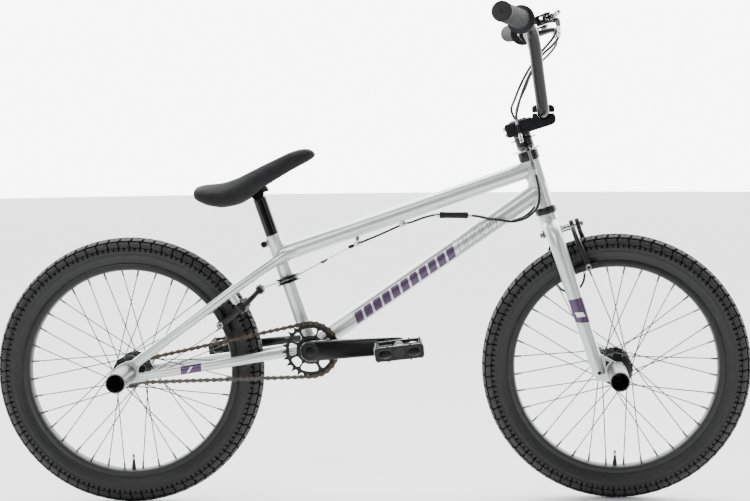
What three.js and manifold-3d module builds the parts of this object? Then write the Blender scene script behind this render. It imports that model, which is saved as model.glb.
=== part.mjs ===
// Freestyle BMX bicycle, 20 inch wheels, with U-brakes, cable detangler and four axle pegs.
// Millimetres, +X forward, +Y to the rider's left, +Z up.
// The origin is the point of the ground under the middle of the rear tyre.
import * as THREE from 'three';
import { mergeVertices } from 'three/addons/utils/BufferGeometryUtils.js';
import Module from 'manifold-3d';

const wasm = await Module();
wasm.setup();

// ---------------------------------------------------------------- driving dimensions
const WHEELBASE = 920.2;
const TYRE_RADIUS = 253;
const TYRE_HALF_WIDTH = 25;
const RIM_RADIUS = 204.3;
const RIM_HALF_WIDTH = 17.5;
const WHEEL_SIDES = 28;
const SPOKES_PER_SIDE = 18;

const HEAD_ANGLE = 72.6;        // steering axis above the horizontal, degrees
const FORK_OFFSET = 36;         // front axle ahead of the steering axis
const STEER_TURN = -6.08;       // the bars stand turned a little to the right, degrees

const BRACKET = { x: 343.7, z: 294 };     // crank axis
const SEAT_ANGLE = 71.3;                    // seat tube above the horizontal, degrees
const SEAT_TUBE_LENGTH = 226;
const HEAD_TUBE = { low: 329, high: 422, radius: 17.45, bore: 15.2 };
const TOP_TUBE = { rear: 186, front: 406.8, radius: 15.9, wall: 1.4 };
const DOWN_TUBE = { front: 362.8, radius: 17.45, wall: 1.4 };
const SEAT_TUBE = { radius: 14.3, bore: 13.1 };
const SEAT_POST_RADIUS = 12.7;
const SEAT_STAY_RADIUS = 8.9;
const SHELL = { radius: 24, halfWidth: 36.5 };

const REAR_DROPOUT = { inner: 55, outer: 61 };
const FRONT_DROPOUT = { inner: 50, outer: 56 };
const PEG = { radius: 18, wall: 3.5, rearEnd: 177, frontEnd: 165.5 };

const LINK = 12.7;              // chain pitch
const CHAIN_LINE = 43;          // chain plane to the right of the middle
const RING_TEETH = 25;
const COG_TEETH = 9;
const CRANK_LENGTH = 165;
const CRANK_ANGLE = 4;          // right crank above the horizontal, pointing forward, degrees
const PEDAL_ANGLE = 6;

const BAR_RADIUS = 11.1;
const STEERER = { radius: 14.3, bore: 10.5 };
const GAP = 0.3;                // clearance left between separate pieces

// ---------------------------------------------------------------- finishes
const FINISHES = {
  silver: { color: 0xd3d7d6, roughness: 0.34, metalness: 0.6 },
  gloss: { color: 0x121214, roughness: 0.16, metalness: 0.2 },
  black: { color: 0x1b1b1d, roughness: 0.5, metalness: 0.3 },
  chrome: { color: 0xdedede, roughness: 0.12, metalness: 1 },
  steel: { color: 0x8f9194, roughness: 0.35, metalness: 1 },
  bronze: { color: 0x6b5643, roughness: 0.45, metalness: 0.9 },
  rubber: { color: 0x2c2c2e, roughness: 0.85, metalness: 0 },
  grip: { color: 0x37373a, roughness: 0.8, metalness: 0 },
  cover: { color: 0x454548, roughness: 0.75, metalness: 0 },
  plastic: { color: 0x3b3b3d, roughness: 0.6, metalness: 0 },
};

// ---------------------------------------------------------------- small tools
const v = (x, y, z) => new THREE.Vector3(x, y, z);
const radians = THREE.MathUtils.degToRad;
const pitchRadius = (teeth) => LINK / 2 / Math.sin(Math.PI / teeth);

// A closed geometry as a manifold solid.
function toSolid(geometry) {
  const bare = geometry.clone();
  bare.deleteAttribute('normal');
  bare.deleteAttribute('uv');
  const merged = mergeVertices(bare, 1e-3);
  const source = merged.index.array;
  const corners = [];
  for (let i = 0; i < source.length; i += 3) {
    const [a, b, c] = [source[i], source[i + 1], source[i + 2]];
    if (a !== b && b !== c && c !== a) corners.push(a, b, c);
  }
  const vertProperties = new Float32Array(merged.attributes.position.array);
  const triVerts = new Uint32Array(corners);
  return new wasm.Manifold(new wasm.Mesh({ numProp: 3, vertProperties, triVerts }));
}

function toGeometry(solid) {
  const mesh = solid.getMesh();
  const geometry = new THREE.BufferGeometry();
  geometry.setAttribute('position', new THREE.BufferAttribute(new Float32Array(mesh.vertProperties), 3));
  geometry.setIndex(Array.from(mesh.triVerts));
  geometry.computeVertexNormals();
  return geometry;
}

const join = (...pieces) => toGeometry(pieces.map(toSolid).reduce((a, b) => a.add(b)));
const cut = (base, ...tools) => toGeometry(tools.map(toSolid).reduce((a, b) => a.subtract(b), toSolid(base)));
const common = (a, b) => toGeometry(toSolid(a).intersect(toSolid(b)));
const mirrored = (geometry) => {
  const copy = geometry.index ? geometry.toNonIndexed() : geometry.clone();
  copy.scale(1, -1, 1);
  const position = copy.attributes.position;
  for (let i = 0; i < position.count; i += 3) {
    const first = v(0, 0, 0).fromBufferAttribute(position, i);
    const second = v(0, 0, 0).fromBufferAttribute(position, i + 1);
    position.setXYZ(i, second.x, second.y, second.z);
    position.setXYZ(i + 1, first.x, first.y, first.z);
  }
  return copy;
};

// Round bar or cone between two points.
function rod(from, to, radius, endRadius = radius, sides = 16) {
  const axis = to.clone().sub(from);
  const geometry = new THREE.CylinderGeometry(endRadius, radius, axis.length(), sides);
  geometry.translate(0, axis.length() / 2, 0);
  geometry.applyQuaternion(new THREE.Quaternion().setFromUnitVectors(v(0, 1, 0), axis.normalize()));
  return geometry.translate(from.x, from.y, from.z);
}

// Round bar across the bicycle, along Y.
const crossRod = (x, y0, y1, z, radius, sides = 16) => rod(v(x, y0, z), v(x, y1, z), radius, radius, sides);

function box(x0, x1, y0, y1, z0, z1) {
  const geometry = new THREE.BoxGeometry(x1 - x0, y1 - y0, z1 - z0);
  return geometry.translate((x0 + x1) / 2, (y0 + y1) / 2, (z0 + z1) / 2);
}

const ball = (x, y, z, radius) => new THREE.SphereGeometry(radius, 8, 6).translate(x, y, z);

// Solid of revolution about Y from a closed outline of [radius, y] points.
function turned(outline, sides) {
  const points = outline.map(([r, y]) => new THREE.Vector2(r, y));
  if (THREE.ShapeUtils.area(points) < 0) points.reverse();
  points.push(points[0].clone());
  return new THREE.LatheGeometry(points, sides);
}

// The same about a line through `foot` along `axis`, with y measured from the foot.
function turnedAlong(outline, sides, foot, axis) {
  const geometry = turned(outline, sides);
  geometry.applyQuaternion(new THREE.Quaternion().setFromUnitVectors(v(0, 1, 0), axis));
  return geometry.translate(foot.x, foot.y, foot.z);
}

function circlePoints(radius, sides, cx = 0, cy = 0) {
  return Array.from({ length: sides }, (_, i) => {
    const angle = (2 * Math.PI * i) / sides;
    return new THREE.Vector2(cx + radius * Math.cos(angle), cy + radius * Math.sin(angle));
  });
}

// Tube of constant section along a smooth curve.
function sweep(points, radius, sides, steps) {
  const section = new THREE.Shape(circlePoints(radius, sides));
  const extrudePath = new THREE.CatmullRomCurve3(points, false, 'centripetal');
  return new THREE.ExtrudeGeometry(section, { steps, extrudePath, bevelEnabled: false });
}

// Tube that narrows evenly along a smooth curve: a cone bent to follow it.
function taperedTube(points, startRadius, endRadius, sides, steps) {
  const path = new THREE.CatmullRomCurve3(points, false, 'centripetal');
  const { normals, binormals } = path.computeFrenetFrames(steps);
  const tube = new THREE.CylinderGeometry(endRadius, startRadius, 1, sides, steps);
  const position = tube.attributes.position;
  for (let i = 0; i < position.count; i += 1) {
    const t = position.getY(i) + 0.5;
    const station = Math.round(t * steps);
    const place = path.getPointAt(t);
    place.addScaledVector(normals[station], position.getX(i));
    place.addScaledVector(binormals[station], -position.getZ(i));
    position.setXYZ(i, place.x, place.y, place.z);
  }
  return tube;
}

// Upright plate: an outline of [x, z] points, from y0 towards +Y by its thickness.
function plate(outline, y0, thickness, holes = []) {
  const shape = new THREE.Shape(outline.map(([x, z]) => new THREE.Vector2(x, z)));
  holes.forEach((hole) => shape.holes.push(new THREE.Path(hole.map(([x, z]) => new THREE.Vector2(x, z)))));
  const geometry = new THREE.ExtrudeGeometry(shape, { depth: thickness, bevelEnabled: false });
  return geometry.rotateX(Math.PI / 2).translate(0, y0 + thickness, 0);
}

// Outline of a belt drawn round two circles.
function beltOutline(a, b, steps) {
  const dx = b.x - a.x;
  const dz = b.z - a.z;
  const slope = Math.atan2(dz, dx);
  const lean = Math.acos((a.radius - b.radius) / Math.hypot(dx, dz));
  const arc = (c, from, to) => Array.from({ length: steps + 1 }, (_, i) => {
    const angle = from + ((to - from) * i) / steps;
    return [c.x + c.radius * Math.cos(angle), c.z + c.radius * Math.sin(angle)];
  });
  return [
    ...arc(a, slope + lean, slope + 2 * Math.PI - lean),
    ...arc(b, slope - lean, slope + lean),
  ];
}

function node(name, geometry, finish, parent) {
  const mesh = new THREE.Mesh(geometry, new THREE.MeshStandardMaterial(FINISHES[finish]));
  mesh.name = name;
  parent.add(mesh);
  return mesh;
}

// ---------------------------------------------------------------- lines of the frame
const bike = new THREE.Group();
const steerSlope = new THREE.Group();   // its Z lies along the steering axis
const steering = new THREE.Group();     // turned about that axis
bike.add(steerSlope);
steerSlope.add(steering);

const rakeAngle = radians(90 - HEAD_ANGLE);
const across = v(Math.cos(rakeAngle), 0, Math.sin(rakeAngle));
const steerAxis = v(-Math.sin(rakeAngle), 0, Math.cos(rakeAngle));
const steerFoot = v(WHEELBASE, 0, TYRE_RADIUS).addScaledVector(across, -FORK_OFFSET);
steerSlope.position.copy(steerFoot);
steerSlope.rotation.y = -rakeAngle;
steering.rotation.z = radians(STEER_TURN);

const onSteerAxis = (height) => steerFoot.clone().addScaledVector(steerAxis, height);
const bracket = v(BRACKET.x, 0, BRACKET.z);
const seatAxis = v(-Math.cos(radians(SEAT_ANGLE)), 0, Math.sin(radians(SEAT_ANGLE)));
const onSeatTube = (height) => bracket.clone().addScaledVector(seatAxis, height);
const rearAxle = v(0, 0, TYRE_RADIUS);

const alongSteer = (outline, sides) => turnedAlong(outline, sides, steerFoot, steerAxis);
const headEnvelope = rod(onSteerAxis(300), onSteerAxis(450), HEAD_TUBE.radius + GAP, undefined, 16);
const seatTubeEnvelope = rod(onSeatTube(-10), onSeatTube(240), SEAT_TUBE.radius + GAP, undefined, 16);
const shellEnvelope = crossRod(BRACKET.x, -40, 40, BRACKET.z, SHELL.radius + GAP, 16);

// ---------------------------------------------------------------- frame tubes
function buildFrame() {
  const head = [
    [HEAD_TUBE.bore, HEAD_TUBE.low], [HEAD_TUBE.radius, HEAD_TUBE.low],
    [HEAD_TUBE.radius, HEAD_TUBE.high], [HEAD_TUBE.bore, HEAD_TUBE.high],
  ];
  node('head_tube', alongSteer(head, 16), 'silver', bike);

  const ringCup = (low, high, radius) => [
    [14.8, low], [radius - 1.5, low], [radius, low + 2], [radius, high], [14.8, high],
  ];
  const lowerCup = ringCup(HEAD_TUBE.low - 12.5, HEAD_TUBE.low - GAP, 20.2);
  const upperCup = ringCup(HEAD_TUBE.high + GAP, HEAD_TUBE.high + 18, 19.6);
  node('headset_lower_cup', alongSteer(lowerCup, 14), 'black', bike);
  node('headset_upper_cup', alongSteer(upperCup, 14), 'black', bike);

  const hollow = (from, to, radius, wall) => cut(
    rod(from, to, radius, radius, 16), rod(from, to, radius - wall, radius - wall, 10));
  const topEnd = onSteerAxis(TOP_TUBE.front);
  const topStart = onSeatTube(TOP_TUBE.rear).lerp(topEnd, 0.016);
  // Two stops under the tube hold the ends of the housing.
  const stop = (x, z, roof) => cut(
    join(rod(v(x - 6, 0, z - 2), v(x + 6, 0, z + 2), 4.8, 4.8, 8), box(x - 4, x + 4, -2.5, 2.5, z, roof)),
    rod(v(x - 12, 0, z - 4), v(x + 12, 0, z + 4), 3.2, 3.2, 8));
  const topTube = cut(
    hollow(topStart, topEnd, TOP_TUBE.radius, TOP_TUBE.wall), headEnvelope, seatTubeEnvelope);
  node('top_tube', join(topTube, stop(518, 525.5, 533.4), stop(432, 489.7, 504.6)), 'silver', bike);

  const downEnd = onSteerAxis(DOWN_TUBE.front);
  const topTubeEnvelope = rod(topStart, topEnd, TOP_TUBE.radius + GAP, undefined, 16);
  const downTube = hollow(bracket, downEnd, DOWN_TUBE.radius, DOWN_TUBE.wall);
  const downTubeEnvelope = rod(bracket, downEnd, DOWN_TUBE.radius + GAP, undefined, 16);
  node('down_tube', cut(downTube, headEnvelope, shellEnvelope, topTubeEnvelope), 'silver', bike);

  // The seat tube carries two lugs and a bolt behind its top, to clamp the post.
  const seatTop = onSeatTube(SEAT_TUBE_LENGTH);
  const bolt = onSeatTube(SEAT_TUBE_LENGTH - 12).add(v(-19.5, 0, -6));
  const lug = rod(bolt, onSeatTube(SEAT_TUBE_LENGTH - 12), 6, 6, 10).translate(0, 4, 0);
  const seatTube = cut(
    join(rod(bracket, seatTop, SEAT_TUBE.radius, SEAT_TUBE.radius, 16),
      lug, lug.clone().translate(0, -8, 0), crossRod(bolt.x, -13, 13, bolt.z, 4.2, 10)),
    rod(onSeatTube(-5), onSeatTube(SEAT_TUBE_LENGTH + 5), SEAT_TUBE.bore, SEAT_TUBE.bore, 16),
    shellEnvelope, downTubeEnvelope);
  node('seat_tube', seatTube, 'silver', bike);

  // Bottom bracket shell with a bearing in each end.
  const shell = [
    [9.9, -36.5], [SHELL.radius, -36.5], [SHELL.radius, 36.5], [9.9, 36.5],
    [9.9, 29], [20.5, 29], [20.5, -29], [9.9, -29],
  ];
  node('bottom_bracket_shell', turnedAlong(shell, 16, bracket, v(0, 1, 0)), 'silver', bike);

  // Stays, with the brake studs on the seat stays and the dropouts on the chain stays.
  const stayTop = onSeatTube(TOP_TUBE.rear).add(v(14, 0, 2));
  const stud = brakePlace(REAR_BRAKE.pivotAlong, REAR_BRAKE.pivotSide, 0);
  const studEnd = brakePlace(REAR_BRAKE.pivotAlong, REAR_BRAKE.pivotSide, REAR_BRAKE.studEnd);
  const seatStay = cut(
    join(
      taperedTube([
        v(17, -58, 273.6), brakePlace(180, 50.5, -6.8), brakePlace(255, 38.5, -6.8),
        v(stayTop.x - 30, -21, stayTop.z - 19), v(stayTop.x, -16, stayTop.z),
      ], SEAT_STAY_RADIUS, SEAT_STAY_RADIUS, 10, 9),
      ball(stayTop.x, -16, stayTop.z, SEAT_STAY_RADIUS),
      rod(stud.clone().setY(-REAR_BRAKE.pivotSide), studEnd.setY(-REAR_BRAKE.pivotSide), 5.5, 5.5, 8)),
    seatTubeEnvelope, topTubeEnvelope, box(0, 400, -1, 100, 200, 500));
  node('seat_stay_right', seatStay, 'silver', bike);
  node('seat_stay_left', mirrored(seatStay), 'silver', bike);

  const dropoutOutline = [
    [-27, 247], [-25, 259], [-17, 269], [-2, 276], [12, 279], [30, 285],
    [33, 277], [23, 266], [21, 256], [34, 255], [36, 240], [14, 237], [-4, 234], [-20, 238],
  ];
  const slot = [[-30, 245.6], [-30, 260.4], [0, 260.4], [0, 245.6]];
  const dropout = cut(
    plate(dropoutOutline, -REAR_DROPOUT.outer, REAR_DROPOUT.outer - REAR_DROPOUT.inner),
    plate(slot, -70, 20), crossRod(0, -70, -50, TYRE_RADIUS, 7.5, 16));
  const chainStay = cut(
    join(
      taperedTube([
        v(24, -58.2, 247.4), v(120, -54, 261.5), v(205, -47, 274), v(258, -36.5, 282),
        v(300, -29, 288), v(BRACKET.x, -26, BRACKET.z),
      ], 7.6, 10, 10, 10),
      dropout),
    shellEnvelope);
  const seatStayEnvelope = rod(v(17, -58, 273.6), brakePlace(180, 50.5, -6.8).setY(-50.5), 9.2, 9.2, 12);
  const stay = cut(chainStay, seatStayEnvelope, ball(17, -58, 273.6, 9.4));
  node('chain_stay_right', stay, 'silver', bike);
  node('chain_stay_left', mirrored(stay), 'silver', bike);
}

// ---------------------------------------------------------------- rear brake
// Places near the rear brake: distance along the seat stay from the axle, distance to the
// right of the middle, and distance out of the stay towards the front.
const STAY_SLOPE = radians(36.1);
const REAR_BRAKE = {
  pivotAlong: 243, pivotSide: 40, studEnd: 18, padAlong: 194, padOut: 31,
  tipAlong: 289, tipSide: 16,
};
function brakePlace(along, side, out) {
  return v(
    along * Math.cos(STAY_SLOPE) + out * Math.sin(STAY_SLOPE), -side,
    TYRE_RADIUS + along * Math.sin(STAY_SLOPE) - out * Math.cos(STAY_SLOPE));
}

function buildRearBrake() {
  const b = REAR_BRAKE;
  const at = (along, side, out) => brakePlace(along, side, out);
  const elbow = at(b.tipAlong - 18, b.pivotSide - 6, 25);
  const arm = join(
    rod(at(b.pivotAlong, b.pivotSide, b.studEnd + 0.6), at(b.pivotAlong, b.pivotSide, 37), 10, 9, 10),
    rod(at(b.pivotAlong, b.pivotSide, 27), elbow, 7, 6, 8),
    rod(elbow, at(b.tipAlong, b.tipSide, 22), 6, 6, 8),
    rod(at(b.tipAlong, b.tipSide, 15), at(b.tipAlong, b.tipSide, 30), 5.5, 5.5, 8),
    rod(at(b.pivotAlong, b.pivotSide, 28), at(b.padAlong, b.pivotSide, b.padOut), 7.5, 7, 8),
    rod(at(b.padAlong, b.pivotSide + 9, b.padOut), at(b.padAlong, 24, b.padOut), 6.5, 6.5, 10),
    brakePad(b));
  node('rear_brake_arm_right', arm, 'black', bike);
  node('rear_brake_arm_left', mirrored(arm), 'black', bike);
}

// A block that follows the rim: long across the stay direction, with its face to the rim.
function brakePad(b) {
  const pad = new THREE.BoxGeometry(12, 9.5, 50);
  pad.rotateY(-STAY_SLOPE + radians(9));
  const place = brakePlace(b.padAlong + 4, 24.5, b.padOut - 1);
  return pad.translate(place.x, place.y, place.z);
}

// ---------------------------------------------------------------- wheels
// Facets are turned so that one lies flat on the ground, and sized so that their middles
// are at the true radius.
const facetScale = 1 / Math.cos(Math.PI / WHEEL_SIDES);
function wheelRing(outline) {
  const scaled = outline.map(([r, y]) => [r * facetScale, y]);
  return turned(scaled, WHEEL_SIDES).rotateY(Math.PI / WHEEL_SIDES);
}
const bothSides = (half) => [...half, ...half.map(([r, y]) => [r, -y]).reverse()];

const tyreOutline = () => [
  ...bothSides([
    [197.8, -14.4], [206, -15], [219, -24.2],
    [TYRE_RADIUS - 14, -TYRE_HALF_WIDTH + 1], [TYRE_RADIUS, -8],
  ]),
  ...bothSides([[197.8, 10.6], [231, 21], [247, 7]]),
];
const rimOutline = () => bothSides([
  [190.5, -6.5], [193.5, -RIM_HALF_WIDTH], [RIM_RADIUS, -RIM_HALF_WIDTH],
  [RIM_RADIUS, -15.8], [196.5, -15],
]);

// Three-cross lacing: a spoke leaves the flange 60 degrees from its place on the rim.
function spokes(side, flangeY) {
  const list = [];
  for (let i = 0; i < SPOKES_PER_SIDE; i += 1) {
    const atRim = ((i + (side > 0 ? 0.75 : 0.25)) * 2 * Math.PI) / SPOKES_PER_SIDE;
    const turn = i % 2 ? 1 : -1;
    const atHub = atRim + radians(62 * turn);
    list.push(rod(
      v(28 * Math.sin(atHub), flangeY + turn, 28 * Math.cos(atHub)),
      v(189.9 * Math.sin(atRim), side * 4 + turn, 189.9 * Math.cos(atRim)), 0.95, 0.95, 3));
  }
  return list;
}

function buildWheel(prefix, hubOutline, flanges, parent, centre, turn) {
  const place = (geometry) => geometry.rotateY(turn).translate(centre.x, centre.y, centre.z);
  const valve = rod(v(0, 0, -192), v(0, 0, -160), 3, 3, 8);
  node(`${prefix}_tyre`, place(wheelRing(tyreOutline())), 'rubber', parent);
  node(`${prefix}_rim`, place(join(wheelRing(rimOutline()), valve)), 'black', parent);
  const hub = join(turned(hubOutline, 14), ...spokes(-1, -flanges[0]), ...spokes(1, flanges[1]));
  node(`${prefix}_hub_and_spokes`, place(hub), 'black', parent);
}

function buildWheels() {
  const frontHub = bothSides([
    [5.6, -46], [11, -46], [11.5, -38], [31, -37], [31, -32.5], [16, -29.5], [13, -8],
  ]);
  buildWheel('front', frontHub, [34.75, 34.75], steering, v(FORK_OFFSET, 0, 0), rakeAngle);
  const rearHub = [
    [7.8, -33.5], [19, -33.5], [20, -31.5], [31, -31], [31, -26.5], [17, -24], [14, 0], [17, 33],
    [31, 35.5], [31, 40], [14, 42], [12, 50], [7.8, 50],
  ];
  buildWheel('rear', rearHub, [28.75, 37.75], bike, rearAxle, 0);
}

// ---------------------------------------------------------------- axles and pegs
// A peg is a tube with a floor that the axle nut clamps against the dropout.
function peg(x, z, inner, outer, bore) {
  const outline = [
    [bore, inner], [PEG.radius, inner], [PEG.radius, outer],
    [PEG.radius - PEG.wall, outer], [PEG.radius - PEG.wall, inner + 7], [bore, inner + 7],
  ];
  return turnedAlong(outline, 12, v(x, 0, z), v(0, 1, 0));
}

function axle(x, z, half, radius, nut) {
  const head = (from, to) => crossRod(x, from, to, z, nut, 6);
  return join(crossRod(x, -half, half, z, radius, 10),
    head(-half + 12, -half + 3), head(half - 12, half - 3));
}

function buildAxles() {
  const r = REAR_DROPOUT.outer;
  node('rear_axle', axle(0, TYRE_RADIUS, r + 20, 6.9, 11), 'steel', bike);
  const rearPeg = peg(0, TYRE_RADIUS, r + GAP, PEG.rearEnd, 7.3);
  node('rear_peg_left', rearPeg, 'steel', bike);
  node('rear_peg_right', mirrored(rearPeg), 'steel', bike);
  const f = FRONT_DROPOUT.outer;
  node('front_axle', axle(FORK_OFFSET, 0, f + 20, 4.8, 9), 'steel', steering);
  const frontPeg = peg(FORK_OFFSET, 0, f + GAP, PEG.frontEnd, 5.3);
  node('front_peg_left', frontPeg, 'steel', steering);
  node('front_peg_right', mirrored(frontPeg), 'steel', steering);
}

// ---------------------------------------------------------------- drivetrain
// Outline of a sprocket with round-topped teeth.
function sprocketOutline(teeth, centre) {
  const pitch = pitchRadius(teeth);
  const steps = [[-0.32, -3], [-0.1, 2.6], [0.1, 2.6], [0.32, -3]];
  const outline = [];
  for (let i = 0; i < teeth; i += 1) {
    steps.forEach(([turn, rise]) => {
      const angle = ((i + turn) * 2 * Math.PI) / teeth;
      const radius = pitch + rise;
      outline.push([centre.x + radius * Math.cos(angle), centre.z + radius * Math.sin(angle)]);
    });
  }
  return outline;
}

// A window between two radii and two angles, with its corners cut.
function sectorWindow(centre, inner, outer, from, to) {
  const at = (radius, angle) => [
    centre.x + radius * Math.cos(radians(angle)), centre.z + radius * Math.sin(radians(angle))];
  return [
    at(outer - 4, from), at(outer, from + 7), at(outer, to - 7),
    at(outer - 4, to), at(inner, to - 6), at(inner, from + 6),
  ];
}

function buildDrivetrain() {
  const windows = [
    [9, 36], [42, 66], [72, 117], [124, 152], [160, 197], [205, 234], [240, 291], [301, 330],
  ].map(([from, to]) => sectorWindow(bracket, 27, 41, from, to));
  const ring = join(
    plate(sprocketOutline(RING_TEETH, bracket), -CHAIN_LINE - 1.2, 2.4, windows),
    crossRod(BRACKET.x, -CHAIN_LINE - 6, -CHAIN_LINE + 5.5, BRACKET.z, 24, 20));
  node('chainring', cut(ring, crossRod(BRACKET.x, -60, -30, BRACKET.z, 9.9, 16)), 'black', bike);

  const cogCentre = v(0, 0, TYRE_RADIUS);
  const driver = cut(
    join(plate(sprocketOutline(COG_TEETH, cogCentre), -CHAIN_LINE - 1.2, 2.4),
      crossRod(0, -51, -34, TYRE_RADIUS, 14.2, 18)),
    crossRod(0, -60, -30, TYRE_RADIUS, 7.7, 16));
  node('driver', driver, 'steel', bike);

  // Chain: two rows of side plates either side of the teeth, held by pins on the open runs.
  const loop = (height) => beltOutline(
    { x: 0, z: TYRE_RADIUS, radius: pitchRadius(COG_TEETH) + height },
    { x: BRACKET.x, z: BRACKET.z, radius: pitchRadius(RING_TEETH) + height }, 9);
  const row = (y) => plate(loop(4), y, 1.2, [loop(-4)]);
  const lean = Math.asin((pitchRadius(RING_TEETH) - pitchRadius(COG_TEETH)) / Math.hypot(BRACKET.x, 41));
  const slope = Math.atan2(BRACKET.z - TYRE_RADIUS, BRACKET.x);
  const pins = [];
  for (let i = 0; i < 3; i += 1) {
    const along = 80 + i * 7 * LINK;
    for (const side of [1, -1]) {
      const run = slope + side * lean;
      const rise = pitchRadius(COG_TEETH);
      const x = along * Math.cos(run) - side * rise * Math.sin(run);
      const z = TYRE_RADIUS + along * Math.sin(run) + side * rise * Math.cos(run);
      pins.push(crossRod(x, -CHAIN_LINE - 3.6, -CHAIN_LINE + 3.6, z, 3.6, 6));
    }
  }
  const chain = join(row(-CHAIN_LINE - 4.2), row(-CHAIN_LINE + 3), ...pins);
  node('chain', chain, 'bronze', bike);

  buildCrank();
}

function crankArm() {
  // Drawn along +X from the crank axis, flaring outwards as it goes.
  const outline = beltOutline({ x: 0, z: 0, radius: 19 }, { x: CRANK_LENGTH, z: 0, radius: 15.5 }, 8);
  const arm = plate(outline, -68, 15);
  const position = arm.attributes.position;
  for (let i = 0; i < position.count; i += 1) {
    position.setY(i, position.getY(i) - (15 * position.getX(i)) / CRANK_LENGTH);
  }
  return join(arm, crossRod(0, -69.5, -51.5, 0, 17, 20),
    crossRod(CRANK_LENGTH, -175, -70, 0, 5, 12));
}

function buildCrank() {
  const turn = radians(CRANK_ANGLE);
  const arm = crankArm();
  const right = join(arm, crossRod(0, -66, 49.5, 0, 9.5, 16)).rotateY(-turn);
  node('crank_arm_right', right.translate(BRACKET.x, 0, BRACKET.z), 'gloss', bike);
  const left = mirrored(arm).rotateY(Math.PI - turn);
  const leftArm = cut(left, crossRod(0, -60, 49.8, 0, 9.8, 16));
  node('crank_arm_left', leftArm.translate(BRACKET.x, 0, BRACKET.z), 'gloss', bike);

  const body = pedal();
  const reach = v(Math.cos(turn), 0, Math.sin(turn)).multiplyScalar(CRANK_LENGTH);
  const tilt = -radians(PEDAL_ANGLE);
  const rightPedal = body.clone().rotateY(tilt).translate(bracket.x + reach.x, 0, bracket.z + reach.z);
  const leftPedal = mirrored(body).rotateY(tilt).translate(bracket.x - reach.x, 0, bracket.z - reach.z);
  node('pedal_right', rightPedal, 'plastic', bike);
  node('pedal_left', leftPedal, 'plastic', bike);
}

// Platform pedal: a barrel round the spindle and a frame of bars in front and behind.
function pedal() {
  const half = 44;
  const [inner, outer] = [-94, -187];
  const outline = [
    [-half, -9], [-half + 5, -13], [half - 5, -13], [half, -9],
    [half, 9], [half - 5, 13], [-half + 5, 13], [-half, 9],
  ];
  const windowBetween = (x0, x1) => box(x0, x1, outer + 11, inner - 11, -20, 20);
  return cut(
    plate(outline, outer, inner - outer),
    windowBetween(-half + 8, -12), windowBetween(12, half - 8),
    crossRod(0, -176, -90, 0, 5.6, 14));
}

// ---------------------------------------------------------------- seat
const POST_LENGTH = 308;        // crank axis to saddle pivot

// Half width, top and bottom of the saddle at stations along its length, rear to nose.
const SADDLE_STATIONS = [
  { x: 127.5, half: 34, top: 589, bottom: 583 },
  { x: 134, half: 57, top: 595.6, bottom: 573 },
  { x: 152, half: 67, top: 598.6, bottom: 562.5 },
  { x: 180, half: 69, top: 604.5, bottom: 557 },
  { x: 207, half: 61, top: 616, bottom: 561 },
  { x: 232, half: 46, top: 628, bottom: 577 },
  { x: 256, half: 34, top: 639.5, bottom: 597 },
  { x: 282, half: 27, top: 651.5, bottom: 613.5 },
  { x: 308, half: 23.5, top: 662, bottom: 629 },
  { x: 332, half: 21.5, top: 669.6, bottom: 641 },
  { x: 347, half: 16, top: 666.5, bottom: 648 },
  { x: 354, half: 7, top: 658, bottom: 652 },
];

// A cylinder along the bicycle, each of its rings shaped to one cross-section of the saddle.
function saddleBody() {
  const count = SADDLE_STATIONS.length;
  const around = 14;
  const geometry = new THREE.CylinderGeometry(1, 1, 1, around, count - 1);
  const position = geometry.attributes.position;
  for (let i = 0; i < position.count; i += 1) {
    const station = SADDLE_STATIONS[Math.round((position.getY(i) + 0.5) * (count - 1))];
    const [sx, sz] = [position.getX(i), position.getZ(i)];
    const middle = (station.top + station.bottom) / 2;
    const height = (station.top - station.bottom) / 2;
    const power = (value) => Math.sign(value) * Math.abs(value) ** 0.8;
    position.setXYZ(i, station.x, power(sz) * station.half, middle + power(sx) * height);
  }
  const solid = toSolid(geometry);
  return solid.volume() > 0 ? toGeometry(solid) : geometry;
}

function buildSeat() {
  const top = onSeatTube(POST_LENGTH);
  const post = join(
    rod(onSeatTube(118), top.clone().addScaledVector(seatAxis, -4), SEAT_POST_RADIUS, SEAT_POST_RADIUS, 16),
    crossRod(top.x, -15, 15, top.z, 12, 18));
  node('seat_post', post, 'gloss', bike);
  const around = crossRod(top.x, -30, 30, top.z, 12.4, 18);
  const foot = plate([[229, 588], [263, 591.5], [276, 606], [262, 612], [228, 592]], -15, 30);
  const saddle = cut(saddleBody(), crossRod(top.x, -30, 30, top.z, 24.5, 20));
  node('saddle', saddle, 'cover', bike);
  const bracketBlock = cut(
    common(foot, crossRod(top.x, -15, 15, top.z, 24, 20)), around);
  node('saddle_bracket', bracketBlock, 'black', bike);
}

// ---------------------------------------------------------------- fork, stem and bars
// Everything below is drawn in the steering group: X ahead of the steering axis, Z up along it,
// both measured from the foot of the front axle on the axis.
const CROWN_SPLIT = 232;
const BRAKE_BOLT = 280.6;
const BAR_CENTRE = { x: 50, z: 499.5 };
const STEM = { low: 473.5, high: 500, half: 25 };

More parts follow.
